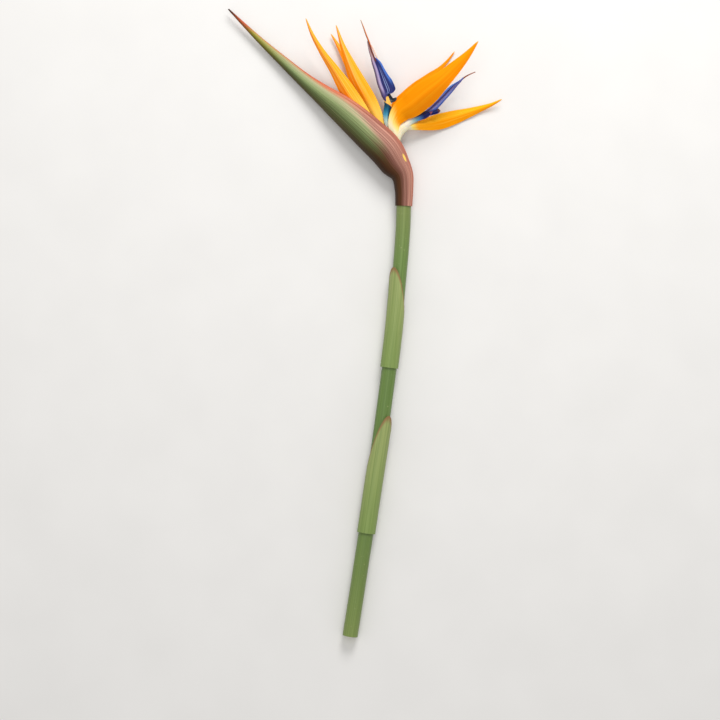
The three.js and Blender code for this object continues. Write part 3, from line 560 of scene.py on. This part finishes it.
class Paint:
    """A material made in small steps. Each step gives the socket that it ends in."""

    def __init__(self, name, roughness=0.5, specular=0.3, subsurface=0.0, coat=0.0):
        self.material = bpy.data.materials.new(name)
        self.material.use_nodes = True
        self.nodes = self.material.node_tree.nodes
        self.links = self.material.node_tree.links
        self.shader = self.nodes["Principled BSDF"]
        for socket, value in {
            "Roughness": roughness,
            "Specular IOR Level": specular,
            "Subsurface Weight": subsurface,
            "Subsurface Radius": (1.0, 0.5, 0.2),
            "Subsurface Scale": 0.0015,
            "Coat Weight": coat,
            "Coat Roughness": 0.25,
        }.items():
            self.shader.inputs[socket].default_value = value

    def join(self, socket, value):
        """Links the socket to another one, or sets it to a number or a colour."""
        if isinstance(value, str):
            value = rgb(value)
        if isinstance(value, bpy.types.NodeSocket):
            self.links.new(value, socket)
        else:
            socket.default_value = value

    def node(self, kind, output, inputs, **settings):
        node = self.nodes.new(kind)
        for key, value in settings.items():
            setattr(node, key, value)
        for key, value in inputs.items():
            self.join(node.inputs[key], value)
        return node.outputs[output]

    def value(self, name):
        """One of the numbers kept at each point of the mesh."""
        return self.node("ShaderNodeAttribute", "Fac", {}, attribute_name=name)

    def position(self):
        return self.node("ShaderNodeTexCoord", "Object", {})

    def math(self, operation, *values):
        return self.node("ShaderNodeMath", 0, dict(enumerate(values)), operation=operation)

    def size(self, value):
        """The value without its sign."""
        return self.math("ABSOLUTE", value)

    def times(self, first, *others):
        for other in others:
            first = self.math("MULTIPLY", first, other)
        return first

    def plus(self, value, other, times=1.0):
        """value + other * times"""
        return self.math("MULTIPLY_ADD", other, times, value)

    def ease(self, value, low, high):
        """0 at low and 1 at high, smooth between them; low may be above high."""
        inputs = {"Value": value, "From Min": low, "From Max": high}
        return self.node("ShaderNodeMapRange", "Result", inputs, interpolation_type="SMOOTHSTEP")

    def line(self, value, middle, width):
        """1 where the value is at the middle, falling smoothly to 0 at the width from it."""
        return self.ease(self.size(self.plus(value, -middle)), width, 0.0)

    def spot(self, first, first_middle, first_reach, second, second_middle, second_reach):
        """1 at the middle of an oval patch, falling smoothly to 0 at its edge."""
        a = self.math("DIVIDE", self.plus(first, -first_middle), first_reach)
        b = self.math("DIVIDE", self.plus(second, -second_middle), second_reach)
        return self.ease(self.plus(self.times(a, a), self.times(b, b)), 1.0, 0.4)

    def ramp(self, value, *stops):
        """A colour that changes smoothly through (position, colour) stops. A number is a grey."""
        node = self.nodes.new("ShaderNodeValToRGB")
        self.join(node.inputs["Fac"], value)
        elements = node.color_ramp.elements
        while len(elements) < len(stops):
            elements.new(1.0)
        for element, (position, colour) in zip(elements, stops):
            element.position = position
            element.color = rgb(colour) if isinstance(colour, str) else (*[colour] * 3, 1.0)
        return node.outputs["Color"]

    def mix(self, factor, a, b):
        """a where the factor is 0 and b where it is 1."""
        colour_a, colour_b, result = 6, 7, 2
        inputs = {"Factor": factor, colour_a: a, colour_b: b}
        return self.node("ShaderNodeMix", result, inputs, data_type="RGBA")

    def streaks(self, across, along, seed, detail=3.0):
        """Noise from 0 to 1 drawn out along the piece, with so many streaks across and along."""
        grain = self.node("ShaderNodeAttribute", "Vector", {}, attribute_name="grain")
        inputs = {0: grain, 1: (across, across, along), 2: (seed, seed, seed)}
        scaled = self.node("ShaderNodeVectorMath", "Vector", inputs, operation="MULTIPLY_ADD")
        inputs = {"Vector": scaled, "Scale": 1.0, "Detail": detail, "Roughness": 0.6}
        return self.node("ShaderNodeTexNoise", "Fac", inputs, noise_dimensions="3D")

    def mottle(self, size, detail=2.0):
        """Even noise from 0 to 1 with patches of about that size in millimetres."""
        inputs = {"Vector": self.position(), "Scale": 1 / (size * MM), "Detail": detail}
        return self.node("ShaderNodeTexNoise", "Fac", inputs)

    def finish(self, colour, height=None, depth=0.1, roughness=None):
        """Sets the colour, a bump of that depth in millimetres, and a roughness that varies."""
        self.join(self.shader.inputs["Base Color"], colour)
        if height is not None:
            inputs = {"Height": height, "Distance": depth * MM, "Strength": 1.0}
            self.join(self.shader.inputs["Normal"], self.node("ShaderNodeBump", "Normal", inputs))
        if roughness is not None:
            self.join(self.shader.inputs["Roughness"], roughness)
        return self.material


def sepal_paint(name, left, right, low, streak_and_highlight, lines, pale_to, lean, seed):
    """Orange tissue with fine veins that run its length, yellower and then cream towards its
    foot. lines is how strong its pale streaks are, which near the keel are partly painted
    highlight, pale_to how far up the cream reaches, and lean how much further up its left edge."""
    p = Paint(name, specular=0.06)
    along, across = p.value("along"), p.value("across")
    out = p.size(across)
    veins = p.streaks(8, 0.9, seed)
    fine = p.streaks(30, 2.0, seed + 7, detail=2)
    # where the two halves differ, the difference is partly painted light: highlight on the half
    # turned to the light, shade on the other
    colour = p.mix(p.ease(across, -0.14, 0.14), left, right)
    uneven = p.plus(p.plus(along, veins, 0.12), across, lean)
    colour = p.mix(p.ease(uneven, pale_to + 0.36, pale_to + 0.12), colour, low)
    # partly painted highlight: pale streaks near the keel
    near_keel = p.ease(out, 0.85, 0.1)
    colour = p.mix(p.times(p.ease(veins, 0.5, 0.66), near_keel, lines), colour, streak_and_highlight)
    colour = p.mix(p.ramp(fine, (0.36, 0.3), (0.56, 0.0)), colour, "#ee7800")
    colour = p.mix(p.times(p.ease(fine, 0.56, 0.74), lines, 0.5), colour, streak_and_highlight)
    colour = p.mix(p.times(p.ease(out, 0.86, 0.98), 0.2), colour, "#ffb81e")
    colour = p.mix(p.ease(along, 0.97, 1.0), colour, "#f0b860")
    colour = p.mix(p.ease(uneven, pale_to + 0.12, pale_to + 0.05), colour, "#f6d66a")
    colour = p.mix(p.ease(uneven, pale_to + 0.07, pale_to), colour, "#efe4bc")
    ribs = p.plus(veins, fine, 0.5)
    return p.finish(colour, ribs, 0.16, p.ramp(fine, (0.2, 0.5), (0.8, 0.66)))


def spathe_paint():
    """Waxy green bract: dark along its keel, partly its own colour and partly painted shade of its
    underside, paler and then pink towards the lips, with a thin red edge. It turns to olive and
    brown at its tip, and to streaked mauve towards the stem."""
    p = Paint("spathe", specular=0.15)
    along, across = p.value("along"), p.value("across")
    up = p.size(across)
    streaks = p.streaks(24, 1.3, 3.0)
    fine = p.streaks(80, 2.4, 11.0, detail=2)
    broad = p.streaks(6, 1.2, 21.0)
    uneven = p.plus(p.plus(p.plus(up, streaks, 0.16), fine, 0.08), -0.12)
    # The dark low ends of the green, olive and mauve ramps, along the keel, are partly the bract's
    # own darker keel and partly painted shade of its underside.
    green = p.ramp(
        uneven,
        (0.0, "#4a3810"),
        (0.2, "#4e4e28"),
        (0.36, "#5a683e"),
        (0.5, "#8a9966"),
        (0.64, "#a8aa80"),
        (0.8, "#bd956c"),
        (1.0, "#c8825c"),
    )
    olive = p.ramp(uneven, (0.0, "#5a4204"), (0.3, "#70680c"), (0.5, "#8f8a26"), (0.7, "#bba24c"))
    green = p.mix(p.ease(along, 0.34, 0.1), green, olive)
    mauve = p.ramp(
        uneven,
        (0.0, "#281202"),
        (0.2, "#3a1e04"),
        (0.37, "#523018"),
        (0.5, "#7c5044"),
        (0.62, "#ac7a6a"),
        (0.8, "#b07666"),
        (1.0, "#b05c42"),
    )
    base = p.plus(p.plus(along, broad, 0.16), p.ease(up, 0.48, 0.74), 0.16)
    base = p.plus(p.plus(base, streaks, 0.16), -0.16)
    colour = p.mix(p.ease(base, 0.68, 0.82), green, mauve)
    # painted shade, partly the keel's own dark colour: darker still along the keel towards the
    # stem, where the underside is in shade
    keel = p.times(p.ease(p.plus(up, streaks, 0.1), 0.36, 0.16), p.ease(along, 0.5, 0.7))
    colour = p.mix(p.times(keel, 0.8), colour, "#341c06")
    reach = [(0.0, 0.3), (0.1, 0.16), (0.3, 0.1), (0.46, 0.22), (0.6, 0.22), (0.8, 0.1)]
    reach = p.ramp(along, *reach)
    band = p.ease(p.plus(p.plus(up, reach), streaks, 0.2), 0.98, 1.12)
    red = p.ramp(
        along,
        (0.0, "#5a2412"),
        (0.06, "#a04c2c"),
        (0.16, "#d06848"),
        (0.4, "#cf6642"),
        (0.56, "#cc7658"),
        (0.7, "#a06052"),
        (0.8, "#b46e5a"),
        (0.9, "#b8644a"),
    )
    colour = p.mix(p.times(band, 0.9), colour, red)
    tip = p.mix(p.ease(up, 0.3, 0.8), "#8a4416", "#c85a3a")
    colour = p.mix(p.ease(p.plus(along, streaks, 0.05), 0.16, 0.1), colour, tip)
    colour = p.mix(p.ease(along, 0.07, 0.0), colour, "#3c2012")
    pink = p.times(p.ease(fine, 0.52, 0.68), p.ease(base, 0.5, 0.8), p.ease(up, 0.42, 0.6))
    colour = p.mix(p.times(pink, 0.7), colour, "#e2ae98")
    wine = p.times(p.ease(streaks, 0.5, 0.34), p.ease(base, 0.58, 0.85), p.ease(up, 0.42, 0.6))
    colour = p.mix(p.times(wine, 0.55), colour, "#80483f")
    colour = p.mix(p.ramp(fine, (0.34, 0.5), (0.52, 0.0)), colour, "#3a2410")
    colour = p.mix(p.times(p.ease(fine, 0.6, 0.8), 0.2), colour, "#efd8b4")
    lip = p.times(p.ease(up, 0.93, 0.965), p.ease(along, 0.3, 0.45))
    colour = p.mix(p.times(lip, 0.9), colour, "#d23c1c")
    colour = p.mix(p.spot(across, 0.76, 0.04, along, 0.838, 0.018), colour, "#f2cc62")
    inside = p.ease(p.value("side"), 0.2, -0.2)
    lining = p.ramp(uneven, (0.1, "#7d7f4a"), (0.7, "#b7a06f"), (1.0, "#c06a50"))
    colour = p.mix(inside, colour, lining)
    ribs = p.plus(streaks, fine, 0.4)
    return p.finish(colour, ribs, 0.22, p.ramp(streaks, (0.3, 0.4), (0.7, 0.56)))


def stem_paint():
    """Waxy green stalk, finely ribbed, yellower towards the cut."""
    p = Paint("stem", specular=0.3, coat=0.1)
    along = p.value("along")
    ribs = p.streaks(16, 3.0, 5.0)
    colour = p.ramp(along, (0.0, "#8a8f55"), (0.2, "#6d8644"), (0.7, "#617c3c"), (1.0, "#7e8f4c"))
    colour = p.mix(p.ramp(ribs, (0.35, 0.4), (0.6, 0.0)), colour, "#3d5524")
    colour = p.mix(p.ramp(ribs, (0.6, 0.0), (0.8, 0.35)), colour, "#a3b070")
    specks = p.ease(p.mottle(1.4, 1.0), 0.7, 0.78)
    colour = p.mix(p.times(specks, 0.4), colour, "#b9b585")
    return p.finish(colour, ribs, 0.2, p.ramp(ribs, (0.3, 0.36), (0.7, 0.52)))


def cut_paint():
    """The stalk's cut face: pale pith dotted with the ends of its strands."""
    p = Paint("stem_cut", roughness=0.65)
    inputs = {"Vector": p.position(), "Scale": 900.0}  # strands a metre
    strands = p.node("ShaderNodeTexVoronoi", "Distance", inputs)
    colour = p.mix(p.ease(strands, 0.32, 0.12), "#cdd39a", "#7d8a4a")
    colour = p.mix(p.ease(p.mottle(5.0), 0.45, 0.7), colour, "#b59f68")
    return p.finish(colour, strands, 0.15)


def sheath_paint():
    """A clasping leaf base: ribbed, yellow-green, with a dry brown margin."""
    p = Paint("stem_sheath", coat=0.05)
    along = p.value("along")
    ribs = p.streaks(24, 1.4, 9.0)
    colour = p.mix(along, "#7f9450", "#98a264")
    colour = p.mix(p.ramp(ribs, (0.35, 0.45), (0.6, 0.0)), colour, "#56702f")
    side_edge = p.ease(p.size(p.value("across")), 0.95, 1.0)
    edge = p.math("MAXIMUM", p.ease(along, 0.93, 0.995), side_edge)
    colour = p.mix(p.times(edge, 0.85), colour, "#8a5f3c")
    return p.finish(colour, ribs, 0.25, p.ramp(ribs, (0.3, 0.4), (0.7, 0.58)))


def tube_paint():
    """The pale floral tube, faintly streaked with green and cream, painted tan at its end as shade
    where the sepals grow from it.
    """
    p = Paint("floret_tube", specular=0.2, subsurface=0.2)
    streaks = p.streaks(5, 1.4, 13.0)
    # painted shade: tan at the tube's end, where the sepals meet it
    stops = [(0.0, "#b9c08a"), (0.4, "#dcd9b0"), (0.6, "#f0e6c6"), (0.85, "#e4dabc")]
    colour = p.ramp(p.value("along"), *stops, (1.0, "#d8b078"))
    colour = p.mix(p.ramp(streaks, (0.4, 0.4), (0.6, 0.0)), colour, "#cbb98a")
    return p.finish(colour, streaks, 0.12, p.ramp(streaks, (0.3, 0.38), (0.7, 0.52)))


def claw_paint(name, stops, dark, dark_side, dark_from, seed, wedge=None):
    """The arrow's narrow claw, from its white foot to the head, darker along one side. The wedge is
    where a yellow tongue starts, on the side that turns to the groove."""
    p = Paint(name, specular=0.2, subsurface=0.05)
    along, across = p.value("along"), p.value("across")
    streaks = p.streaks(5, 1.6, seed)
    fine = p.streaks(16, 3.0, seed + 3, detail=2)
    colour = p.ramp(p.plus(p.plus(along, streaks, 0.1), -0.05), *stops)
    shaded = p.ease(p.times(across, dark_side), 0.05, 0.5)
    shaded = p.times(shaded, p.ease(along, dark_from, dark_from + 0.16))
    colour = p.mix(shaded, colour, dark)
    if wedge:
        tongue = p.ease(p.plus(along, across, 0.066), wedge, wedge + 0.016)
        yellow = p.ramp(fine, (0.35, "#d88a34"), (0.6, "#ffcf62"))
        colour = p.mix(tongue, colour, yellow)
    return p.finish(colour, streaks, 0.12, p.ramp(streaks, (0.3, 0.4), (0.7, 0.55)))


def head_paint(name, arched, limb, limb_foot, limb_top, wing, wing_edge, seed):
    """The arrow's head: an arched limb that is pale near the groove, that paleness a painted
    highlight along the arch, and a wing with a bright margin and two pale lines beside the groove,
    painted highlights on its two low ridges."""
    p = Paint(name, specular=0.2, subsurface=0.03)
    along = p.value("along")
    toward_limb = p.times(p.value("across"), float(arched))
    out = p.size(toward_limb)
    veins = p.streaks(7, 1.1, seed)
    fine = p.streaks(32, 2.0, seed + 5, detail=2)
    uneven = p.plus(p.plus(out, veins, 0.1), -0.05)
    # painted highlight: the pale middle stops of the limb's colours light up the arch's crest
    arch = p.ramp(uneven, *limb)
    arch = p.mix(p.ease(p.plus(along, veins, 0.1), 0.3, 0.12), arch, limb_foot)
    arch = p.mix(p.times(p.ease(along, 0.6, 0.8), p.ease(out, 0.95, 0.5)), arch, limb_top)
    flat = p.ramp(uneven, *wing)
    margin = p.times(p.ease(uneven, 0.6, 0.88), p.ease(along, 0.18, 0.36))
    flat = p.mix(margin, flat, wing_edge)
    ridge_highlight_width, ridge_highlight_strength = 0.045, 0.75
    # painted highlights: two pale lines where the wing's low ridges catch the light
    for middle in (0.23, 0.42):
        ridge_highlight = p.times(p.line(uneven, middle, ridge_highlight_width), p.ease(along, 0.62, 0.46))
        ridge_highlight = p.times(ridge_highlight, p.ease(veins, 0.3, 0.55), ridge_highlight_strength)
        flat = p.mix(ridge_highlight, flat, "#a9bcec")
    colour = p.mix(p.ease(toward_limb, -0.02, 0.02), flat, arch)
    colour = p.mix(p.ramp(fine, (0.36, 0.4), (0.56, 0.0)), colour, "#14163f")
    colour = p.mix(p.times(p.ease(fine, 0.56, 0.76), 0.25), colour, "#aab0e6")
    ribs = p.plus(veins, fine, 0.5)
    return p.finish(colour, ribs, 0.14, p.ramp(fine, (0.2, 0.36), (0.8, 0.55)))


def small_petal_paint(name, base, light, patch, knob, seed):
    """The small dark petal, streaked with painted highlights in its light colour, and with colours
    of their own for a patch low on it and for its end.
    """
    p = Paint(name, specular=0.3, coat=0.1)
    along = p.value("along")
    streaks = p.streaks(4, 2.0, seed)
    # painted highlight: streaks of the light colour
    colour = p.mix(p.times(p.ease(streaks, 0.5, 0.7), 0.6), base, light)
    low = p.ease(p.plus(along, p.value("across"), 0.1), 0.5, 0.38)
    colour = p.mix(low, colour, patch)
    end = p.ease(p.plus(along, streaks, 0.1), 0.86, 0.94)
    colour = p.mix(end, colour, knob)
    return p.finish(colour, streaks, 0.1, p.ramp(streaks, (0.3, 0.34), (0.7, 0.5)))


def stamens_paint():
    """Five threads side by side: pink-cream, paler and dusty where the anthers are."""
    p = Paint("stamens", specular=0.15)
    along = p.value("along")
    dust = p.mottle(0.35)
    colour = p.ramp(along, (0.0, "#d9cfe0"), (0.5, "#b9a9c4"), (0.75, "#efd9c4"), (1.0, "#f0b89a"))
    colour = p.mix(p.ramp(dust, (0.45, 0.0), (0.7, 0.6)), colour, "#fff6e8")
    return p.finish(colour, dust, 0.12, p.ramp(dust, (0.3, 0.6), (0.7, 0.85)))


def style_paint(name, stops, edge):
    """The style's thread and its sticky tip, darker along its left side."""
    p = Paint(name, specular=0.2)
    streaks = p.streaks(5, 5.0, 31.0)
    colour = p.ramp(p.value("along"), *stops)
    colour = p.mix(p.times(p.ease(p.value("across"), 0.0, -0.7), 0.9), colour, edge)
    colour = p.mix(p.ramp(streaks, (0.4, 0.3), (0.65, 0.0)), colour, "#6a2a12")
    return p.finish(colour, streaks, 0.08, p.ramp(streaks, (0.3, 0.4), (0.7, 0.6)))


def bud_paint():
    """An unopened floret: cream below, then folded orange with a green tip."""
    p = Paint("bud", specular=0.2, subsurface=0.1)
    streaks = p.streaks(7, 1.5, 17.0)
    stops = [(0.0, "#d9d6a6"), (0.3, "#f0d890"), (0.55, "#f2a63c"), (0.85, "#e8892a")]
    colour = p.ramp(p.value("along"), *stops, (1.0, "#9a9a4c"))
    colour = p.mix(p.ramp(streaks, (0.4, 0.4), (0.65, 0.0)), colour, "#c9741e")
    return p.finish(colour, streaks, 0.15, p.ramp(streaks, (0.3, 0.4), (0.7, 0.55)))


# Each sepal's colours on its two halves and near its foot, its streaks and where its cream ends.
# TURNED's left half, the upper one, is painted lighter as highlight and its right half darker as
# shade; KEELED's paler right half is partly painted highlight. The pale streaks by the keel of
# TURNED and KEELED are partly painted highlight, partly the sepal's own paler streaks.
BROAD = dict(left="#fb9400", right="#fa9000", low="#f89600", streak_and_highlight="#ffa912", lines=0.5)
TURNED = dict(left="#ffb418", right="#ffa000", low="#ffa610", streak_and_highlight="#ffc040", lines=0.6)
KEELED = dict(left="#ff8c00", right="#f9ab18", low="#fdcf58", streak_and_highlight="#ffdc80", lines=0.8)
SEPAL_LOOKS = {
    "floret_1_sepal_near": dict(BROAD, pale_to=0.15, lean=0.05, seed=1.0),
    "floret_1_sepal_far": dict(BROAD, pale_to=0.12, lean=0.0, seed=2.0),
    "floret_1_sepal_outer": dict(TURNED, pale_to=0.06, lean=-0.02, seed=3.0),
    "floret_2_sepal_near": dict(KEELED, pale_to=0.16, lean=0.0, seed=4.0),
    "floret_2_sepal_middle": dict(KEELED, pale_to=0.12, lean=0.0, seed=5.0),
    "floret_2_sepal_far": dict(KEELED, pale_to=0.16, lean=0.0, seed=6.0),
}

CLAW_LOOKS = {
    "floret_1": dict(
        stops=[
            (0.0, "#f0e8d2"),
            (0.3, "#ece2cc"),
            (0.46, "#b4c4bc"),
            (0.58, "#6f9db0"),
            (0.68, "#3f70b0"),
            (0.8, "#161c60"),
        ],
        dark="#1a2048",
        dark_side=-1.0,
        dark_from=0.5,
        seed=41.0,
    ),
    "floret_2": dict(
        stops=[
            (0.36, "#f2ecdc"),
            (0.5, "#bcdcd6"),
            (0.62, "#4a9cba"),
            (0.72, "#146488"),
            (0.82, "#0f4258"),
        ],
        dark="#06304a",
        dark_side=1.0,
        dark_from=0.42,
        seed=43.0,
        wedge=0.845,
    ),
}

# The pale middle stops of each limb are a painted highlight along its arch.
HEAD_LOOKS = {
    "floret_1": dict(
        limb=[
            (0.0, "#1c2060"),
            (0.16, "#3c4ca8"),
            (0.45, "#94a2ec"),
            (0.7, "#5674d8"),
            (1.0, "#2446a0"),
        ],
        limb_foot="#0e1048",
        limb_top="#6a6cb0",
        wing=[(0.0, "#1a1e5c"), (0.25, "#222c84"), (0.45, "#4a78e0"), (1.0, "#5c96f8")],
        wing_edge="#68a4ff",
        seed=45.0,
    ),
    "floret_2": dict(
        limb=[
            (0.0, "#1c2460"),
            (0.2, "#2c3474"),
            (0.32, "#a08fb6"),
            (0.5, "#b6a4c6"),
            (0.8, "#6e5e88"),
            (1.0, "#3c3a50"),
        ],
        limb_foot="#483e78",
        limb_top="#b98e86",
        wing=[(0.0, "#181c58"), (0.3, "#1c2264"), (0.6, "#1c2468"), (1.0, "#1a2a70")],
        wing_edge="#5484de",
        seed=47.0,
    ),
}

# light is the colour of each small petal's painted highlight streaks
SMALL_PETAL_LOOKS = {
    "floret_1": dict(base="#141c6a", light="#3a50a8", patch="#c8626c", knob="#6c3a30", seed=51.0),
    "floret_2": dict(base="#0c1626", light="#22384e", patch="#0e1a2c", knob="#14202e", seed=53.0),
}

STYLE_LOOKS = {
    "floret_1": dict(
        stops=[(0.0, "#7a4030"), (0.5, "#a8502c"), (1.0, "#c08060")],
        edge="#4a2a24",
    ),
    "floret_2": dict(
        stops=[
            (0.0, "#7c2f1c"),
            (0.32, "#9a3c20"),
            (0.46, "#dc7016"),
            (0.85, "#da8028"),
            (1.0, "#e0c09a"),
        ],
        edge="#3c3440",
    ),
}

# ---------------------------------------------------------------- the flower


def spathe_grid(t, angle, inward):
    """Points of the spathe's skin, sunk into it by inward at each point."""
    line = Line(SPATHE)
    height, thickness, gap, pinch = (column[:, None] for column in line.at(t).T[3:])
    drop = np.abs(np.cos(angle / 2)) ** np.maximum(pinch, 0)
    parted = np.maximum(gap, 0.2) * ((1 - np.cos(angle)) / 2) ** 2 * np.sign(angle)
    up = -(height - inward) * np.cos(angle)
    out = (thickness - inward) * np.sin(angle) * drop + parted
    return place(line.frames(t), -up, out)


def build_spathe():
    rows, columns = 200, 72
    closer_at_lips = 0.9
    nearly_round = 0.9995  # the edges stop just short of each other
    thickest, most_of_height, left_at_lips = 1.6, 0.3, 0.4
    t = np.linspace(0, 1, rows)
    v = np.linspace(-1, 1, columns + 1)
    across = (np.sign(v) * np.abs(v) ** closer_at_lips)[None, :]
    angle = across * np.pi * nearly_round
    height = Line(SPATHE).at(t)[:, 3:4]
    wall = np.minimum(thickest, most_of_height * height)
    wall = wall * lerp(1.0, left_at_lips, np.abs(across) ** 5)
    made = leaf_mesh(spathe_grid(t, angle, 0.0), spathe_grid(t, angle, wall), t, across)
    add_piece("spathe_skin", made, [spathe_paint()], "spathe")


def build_stem():
    def ripple(t, angle):
        long, short = np.sin(9 * t + 2 * np.sin(angle)), np.sin(23 * t + angle)
        return 1 + (0.012 * long + 0.008 * short) * ease(t, 0.1, 0.2) * ease(t, 1.0, 0.9)

    made = stalk(STEM, rows=220, sides=48, ripple=ripple)
    on_cut = [int(len(face) == 3) for face in made[1]]  # only the ends have triangles
    add_piece("stem_skin", made, [stem_paint(), cut_paint()], "stem", on_cut)


def build_sheath(name, form, paint):
    """A leaf base rolled round the stem, open along a seam, its upper edge drawn to a point."""
    rows, columns = 60, 56
    wrap = 165  # degrees that it reaches round the stem on each side of its point
    wall, off_the_stem, lift_of_point = 0.9, 0.5, 1.6
    ribs, rib_height = 13, 0.06
    line = Line(STEM)
    v = np.linspace(-1, 1, columns + 1)
    height = np.linspace(0, 1, rows)
    crest = np.maximum(np.cos(v * np.pi / 2), 0)
    top = lerp(form["shoulder"], form["point"], crest**2.4)
    angle = np.radians(form["side"] + v * wrap)
    ribbed = rib_height * np.sin(2 * np.pi * ribs * v) * (1 - np.abs(v) ** 4)
    front, back = np.empty((2, rows, columns + 1, 3))
    for r, h in enumerate(height):
        t = lerp(form["base"], top, h)
        centre, right, upward, _ = line.frames(t)
        outward = upward * np.cos(angle)[:, None] + right * np.sin(angle)[:, None]
        lift = lift_of_point * h**3 * crest**4
        radius = line.at(t)[:, 3] + off_the_stem + lift + wall / 2
        thin = wall * lerp(1, 0.5, max(h - 0.7, 0) / 0.3) * lerp(1, 0.5, np.abs(v) ** 6)
        front[r] = centre + outward * (radius + thin / 2 + ribbed)[:, None]
        back[r] = centre + outward * (radius - thin / 2)[:, None]
    made = leaf_mesh(front, back, height, v[None, :])
    add_piece(f"{name}_skin", made, [paint], name)


def build_sepal(node, stations):
    section = blade_section(ruffle=0.25, waves=4.5, clasp=0.3)
    made = sheet(stations, section, rows=120, columns=28, middle=1.1, edge=0.3, tip=0.012)
    add_piece(f"{node}_skin", made, [sepal_paint(node, **SEPAL_LOOKS[node])], node)


def build_arrow(name, floret):
    arched = floret["arched"]
    claw_form = {"rows": 50, "columns": 14, "middle": 0.9, "edge": 0.4}
    head_form = {"rows": 140, "columns": 40, "middle": 0.9, "edge": 0.3, "tip": 0.01}
    claw = sheet(floret["claw"], blade_section(clasp=0.3), **claw_form)
    head = sheet(floret["head"], head_section(arched), **head_form)
    material_of = [0] * len(claw[1]) + [1] * len(head[1])
    paints = [
        claw_paint(f"{name}_claw", **CLAW_LOOKS[name]),
        head_paint(f"{name}_head", arched, **HEAD_LOOKS[name]),
    ]
    node, made = f"{name}_arrow", joined(claw, head)
    add_piece(f"{node}_skin", made, paints, node, material_of)


def build_small_petal(name, stations):
    node = f"{name}_small_petal"
    made = sheet(stations, blade_section(), rows=40, columns=14, middle=0.9, edge=0.35, tip=0.04)
    paint = small_petal_paint(node, **SMALL_PETAL_LOOKS[name])
    add_piece(f"{node}_skin", made, [paint], node)


def build_stalk(node, stations, paint, slot, rows=80, sides=28, **form):
    add_piece(f"{node}_skin", stalk(stations, rows, sides, **form), [paint], node)


def build_floret(name, floret, tube, stamens):
    build_stalk(f"{name}_tube", floret["tube"], tube, "floret_tube")
    build_arrow(name, floret)
    for position, stations in floret["sepals"].items():
        build_sepal(f"{name}_sepal_{position}", stations)
    build_small_petal(name, floret["small_petal"])
    bundle = {"sides": 40, "flute": 0.3, "lobes": 5}
    build_stalk(f"{name}_stamens", floret["stamens"], stamens, "stamens", **bundle)
    style = style_paint(f"{name}_style", **STYLE_LOOKS[name])
    build_stalk(f"{name}_style", floret["style"], style, "style", flute=0.2, lobes=3)


def build_flower():
    build_spathe()
    build_stem()
    leaf_base, tube, stamens, bud = sheath_paint(), tube_paint(), stamens_paint(), bud_paint()
    for name, form in SHEATHS.items():
        build_sheath(name, form, leaf_base)
    for name, floret in FLORETS.items():
        build_floret(name, floret, tube, stamens)
    for node, stations in BUDS.items():
        build_stalk(node, stations, bud, "bud", flute=0.1, lobes=3)


# ---------------------------------------------------------------- the studio


def build_floor():
    reach, below = 4.0, 0.0001  # metres; below keeps it off the flower
    mesh = bpy.data.meshes.new("floor")
    corners = [(-reach, -reach), (reach, -reach), (reach, reach), (-reach, reach)]
    mesh.from_pydata([(x, y, cad_low.z - below) for x, y in corners], [], [(0, 1, 2, 3)])
    p = Paint("floor", roughness=0.8, specular=0.1)
    mesh.materials.append(p.finish(p.ramp(p.mottle(60.0), (0.3, "#e2e0dd"), (0.7, "#e5e3e0"))))
    floor = bpy.data.objects.new("floor", mesh)
    bpy.context.scene.collection.objects.link(floor)


def add_light(name, position, target, size, power):
    """A round soft light turned to its target, in metres and watts."""
    light = bpy.data.lights.new(name, "AREA")
    light.shape = "DISK"
    light.size = size
    light.energy = power
    holder = bpy.data.objects.new(name, light)
    holder.location = position
    direction = np.array(target) - np.array(position)
    x, y, z = direction / np.linalg.norm(direction)
    holder.rotation_euler = (math.acos(-z), 0.0, math.atan2(-x, y))
    bpy.context.scene.collection.objects.link(holder)


def build_studio():
    scene = bpy.context.scene
    scene.view_settings.view_transform = "Standard"
    world = bpy.data.worlds.new("studio")
    world.use_nodes = True
    background = world.node_tree.nodes["Background"]
    background.inputs["Color"].default_value = (1.0, 1.0, 1.0, 1.0)
    background.inputs["Strength"].default_value = 0.58
    scene.world = world
    head = (0.0, 0.18, 0.02)
    add_light("key", (0.25, 1.1, 0.95), head, 0.7, 14.0)
    add_light("overhead", (-0.1, 0.2, 1.6), head, 1.2, 5.0)


def build_camera():
    """Straight down on the flower, with the photograph's width at the flower's middle height."""
    centre = (-4.325 * MM, -31.55 * MM)
    distance, middle_height, frame_width = 2000 * MM, 12 * MM, 612 * MM
    camera = bpy.data.cameras.new("camera")
    camera.sensor_width = 36
    camera.lens = camera.sensor_width * distance / frame_width
    holder = bpy.data.objects.new("camera", camera)
    holder.location = (*centre, middle_height + distance)
    bpy.context.scene.collection.objects.link(holder)
    bpy.context.scene.camera = holder


build_flower()
build_floor()
build_studio()
build_camera()
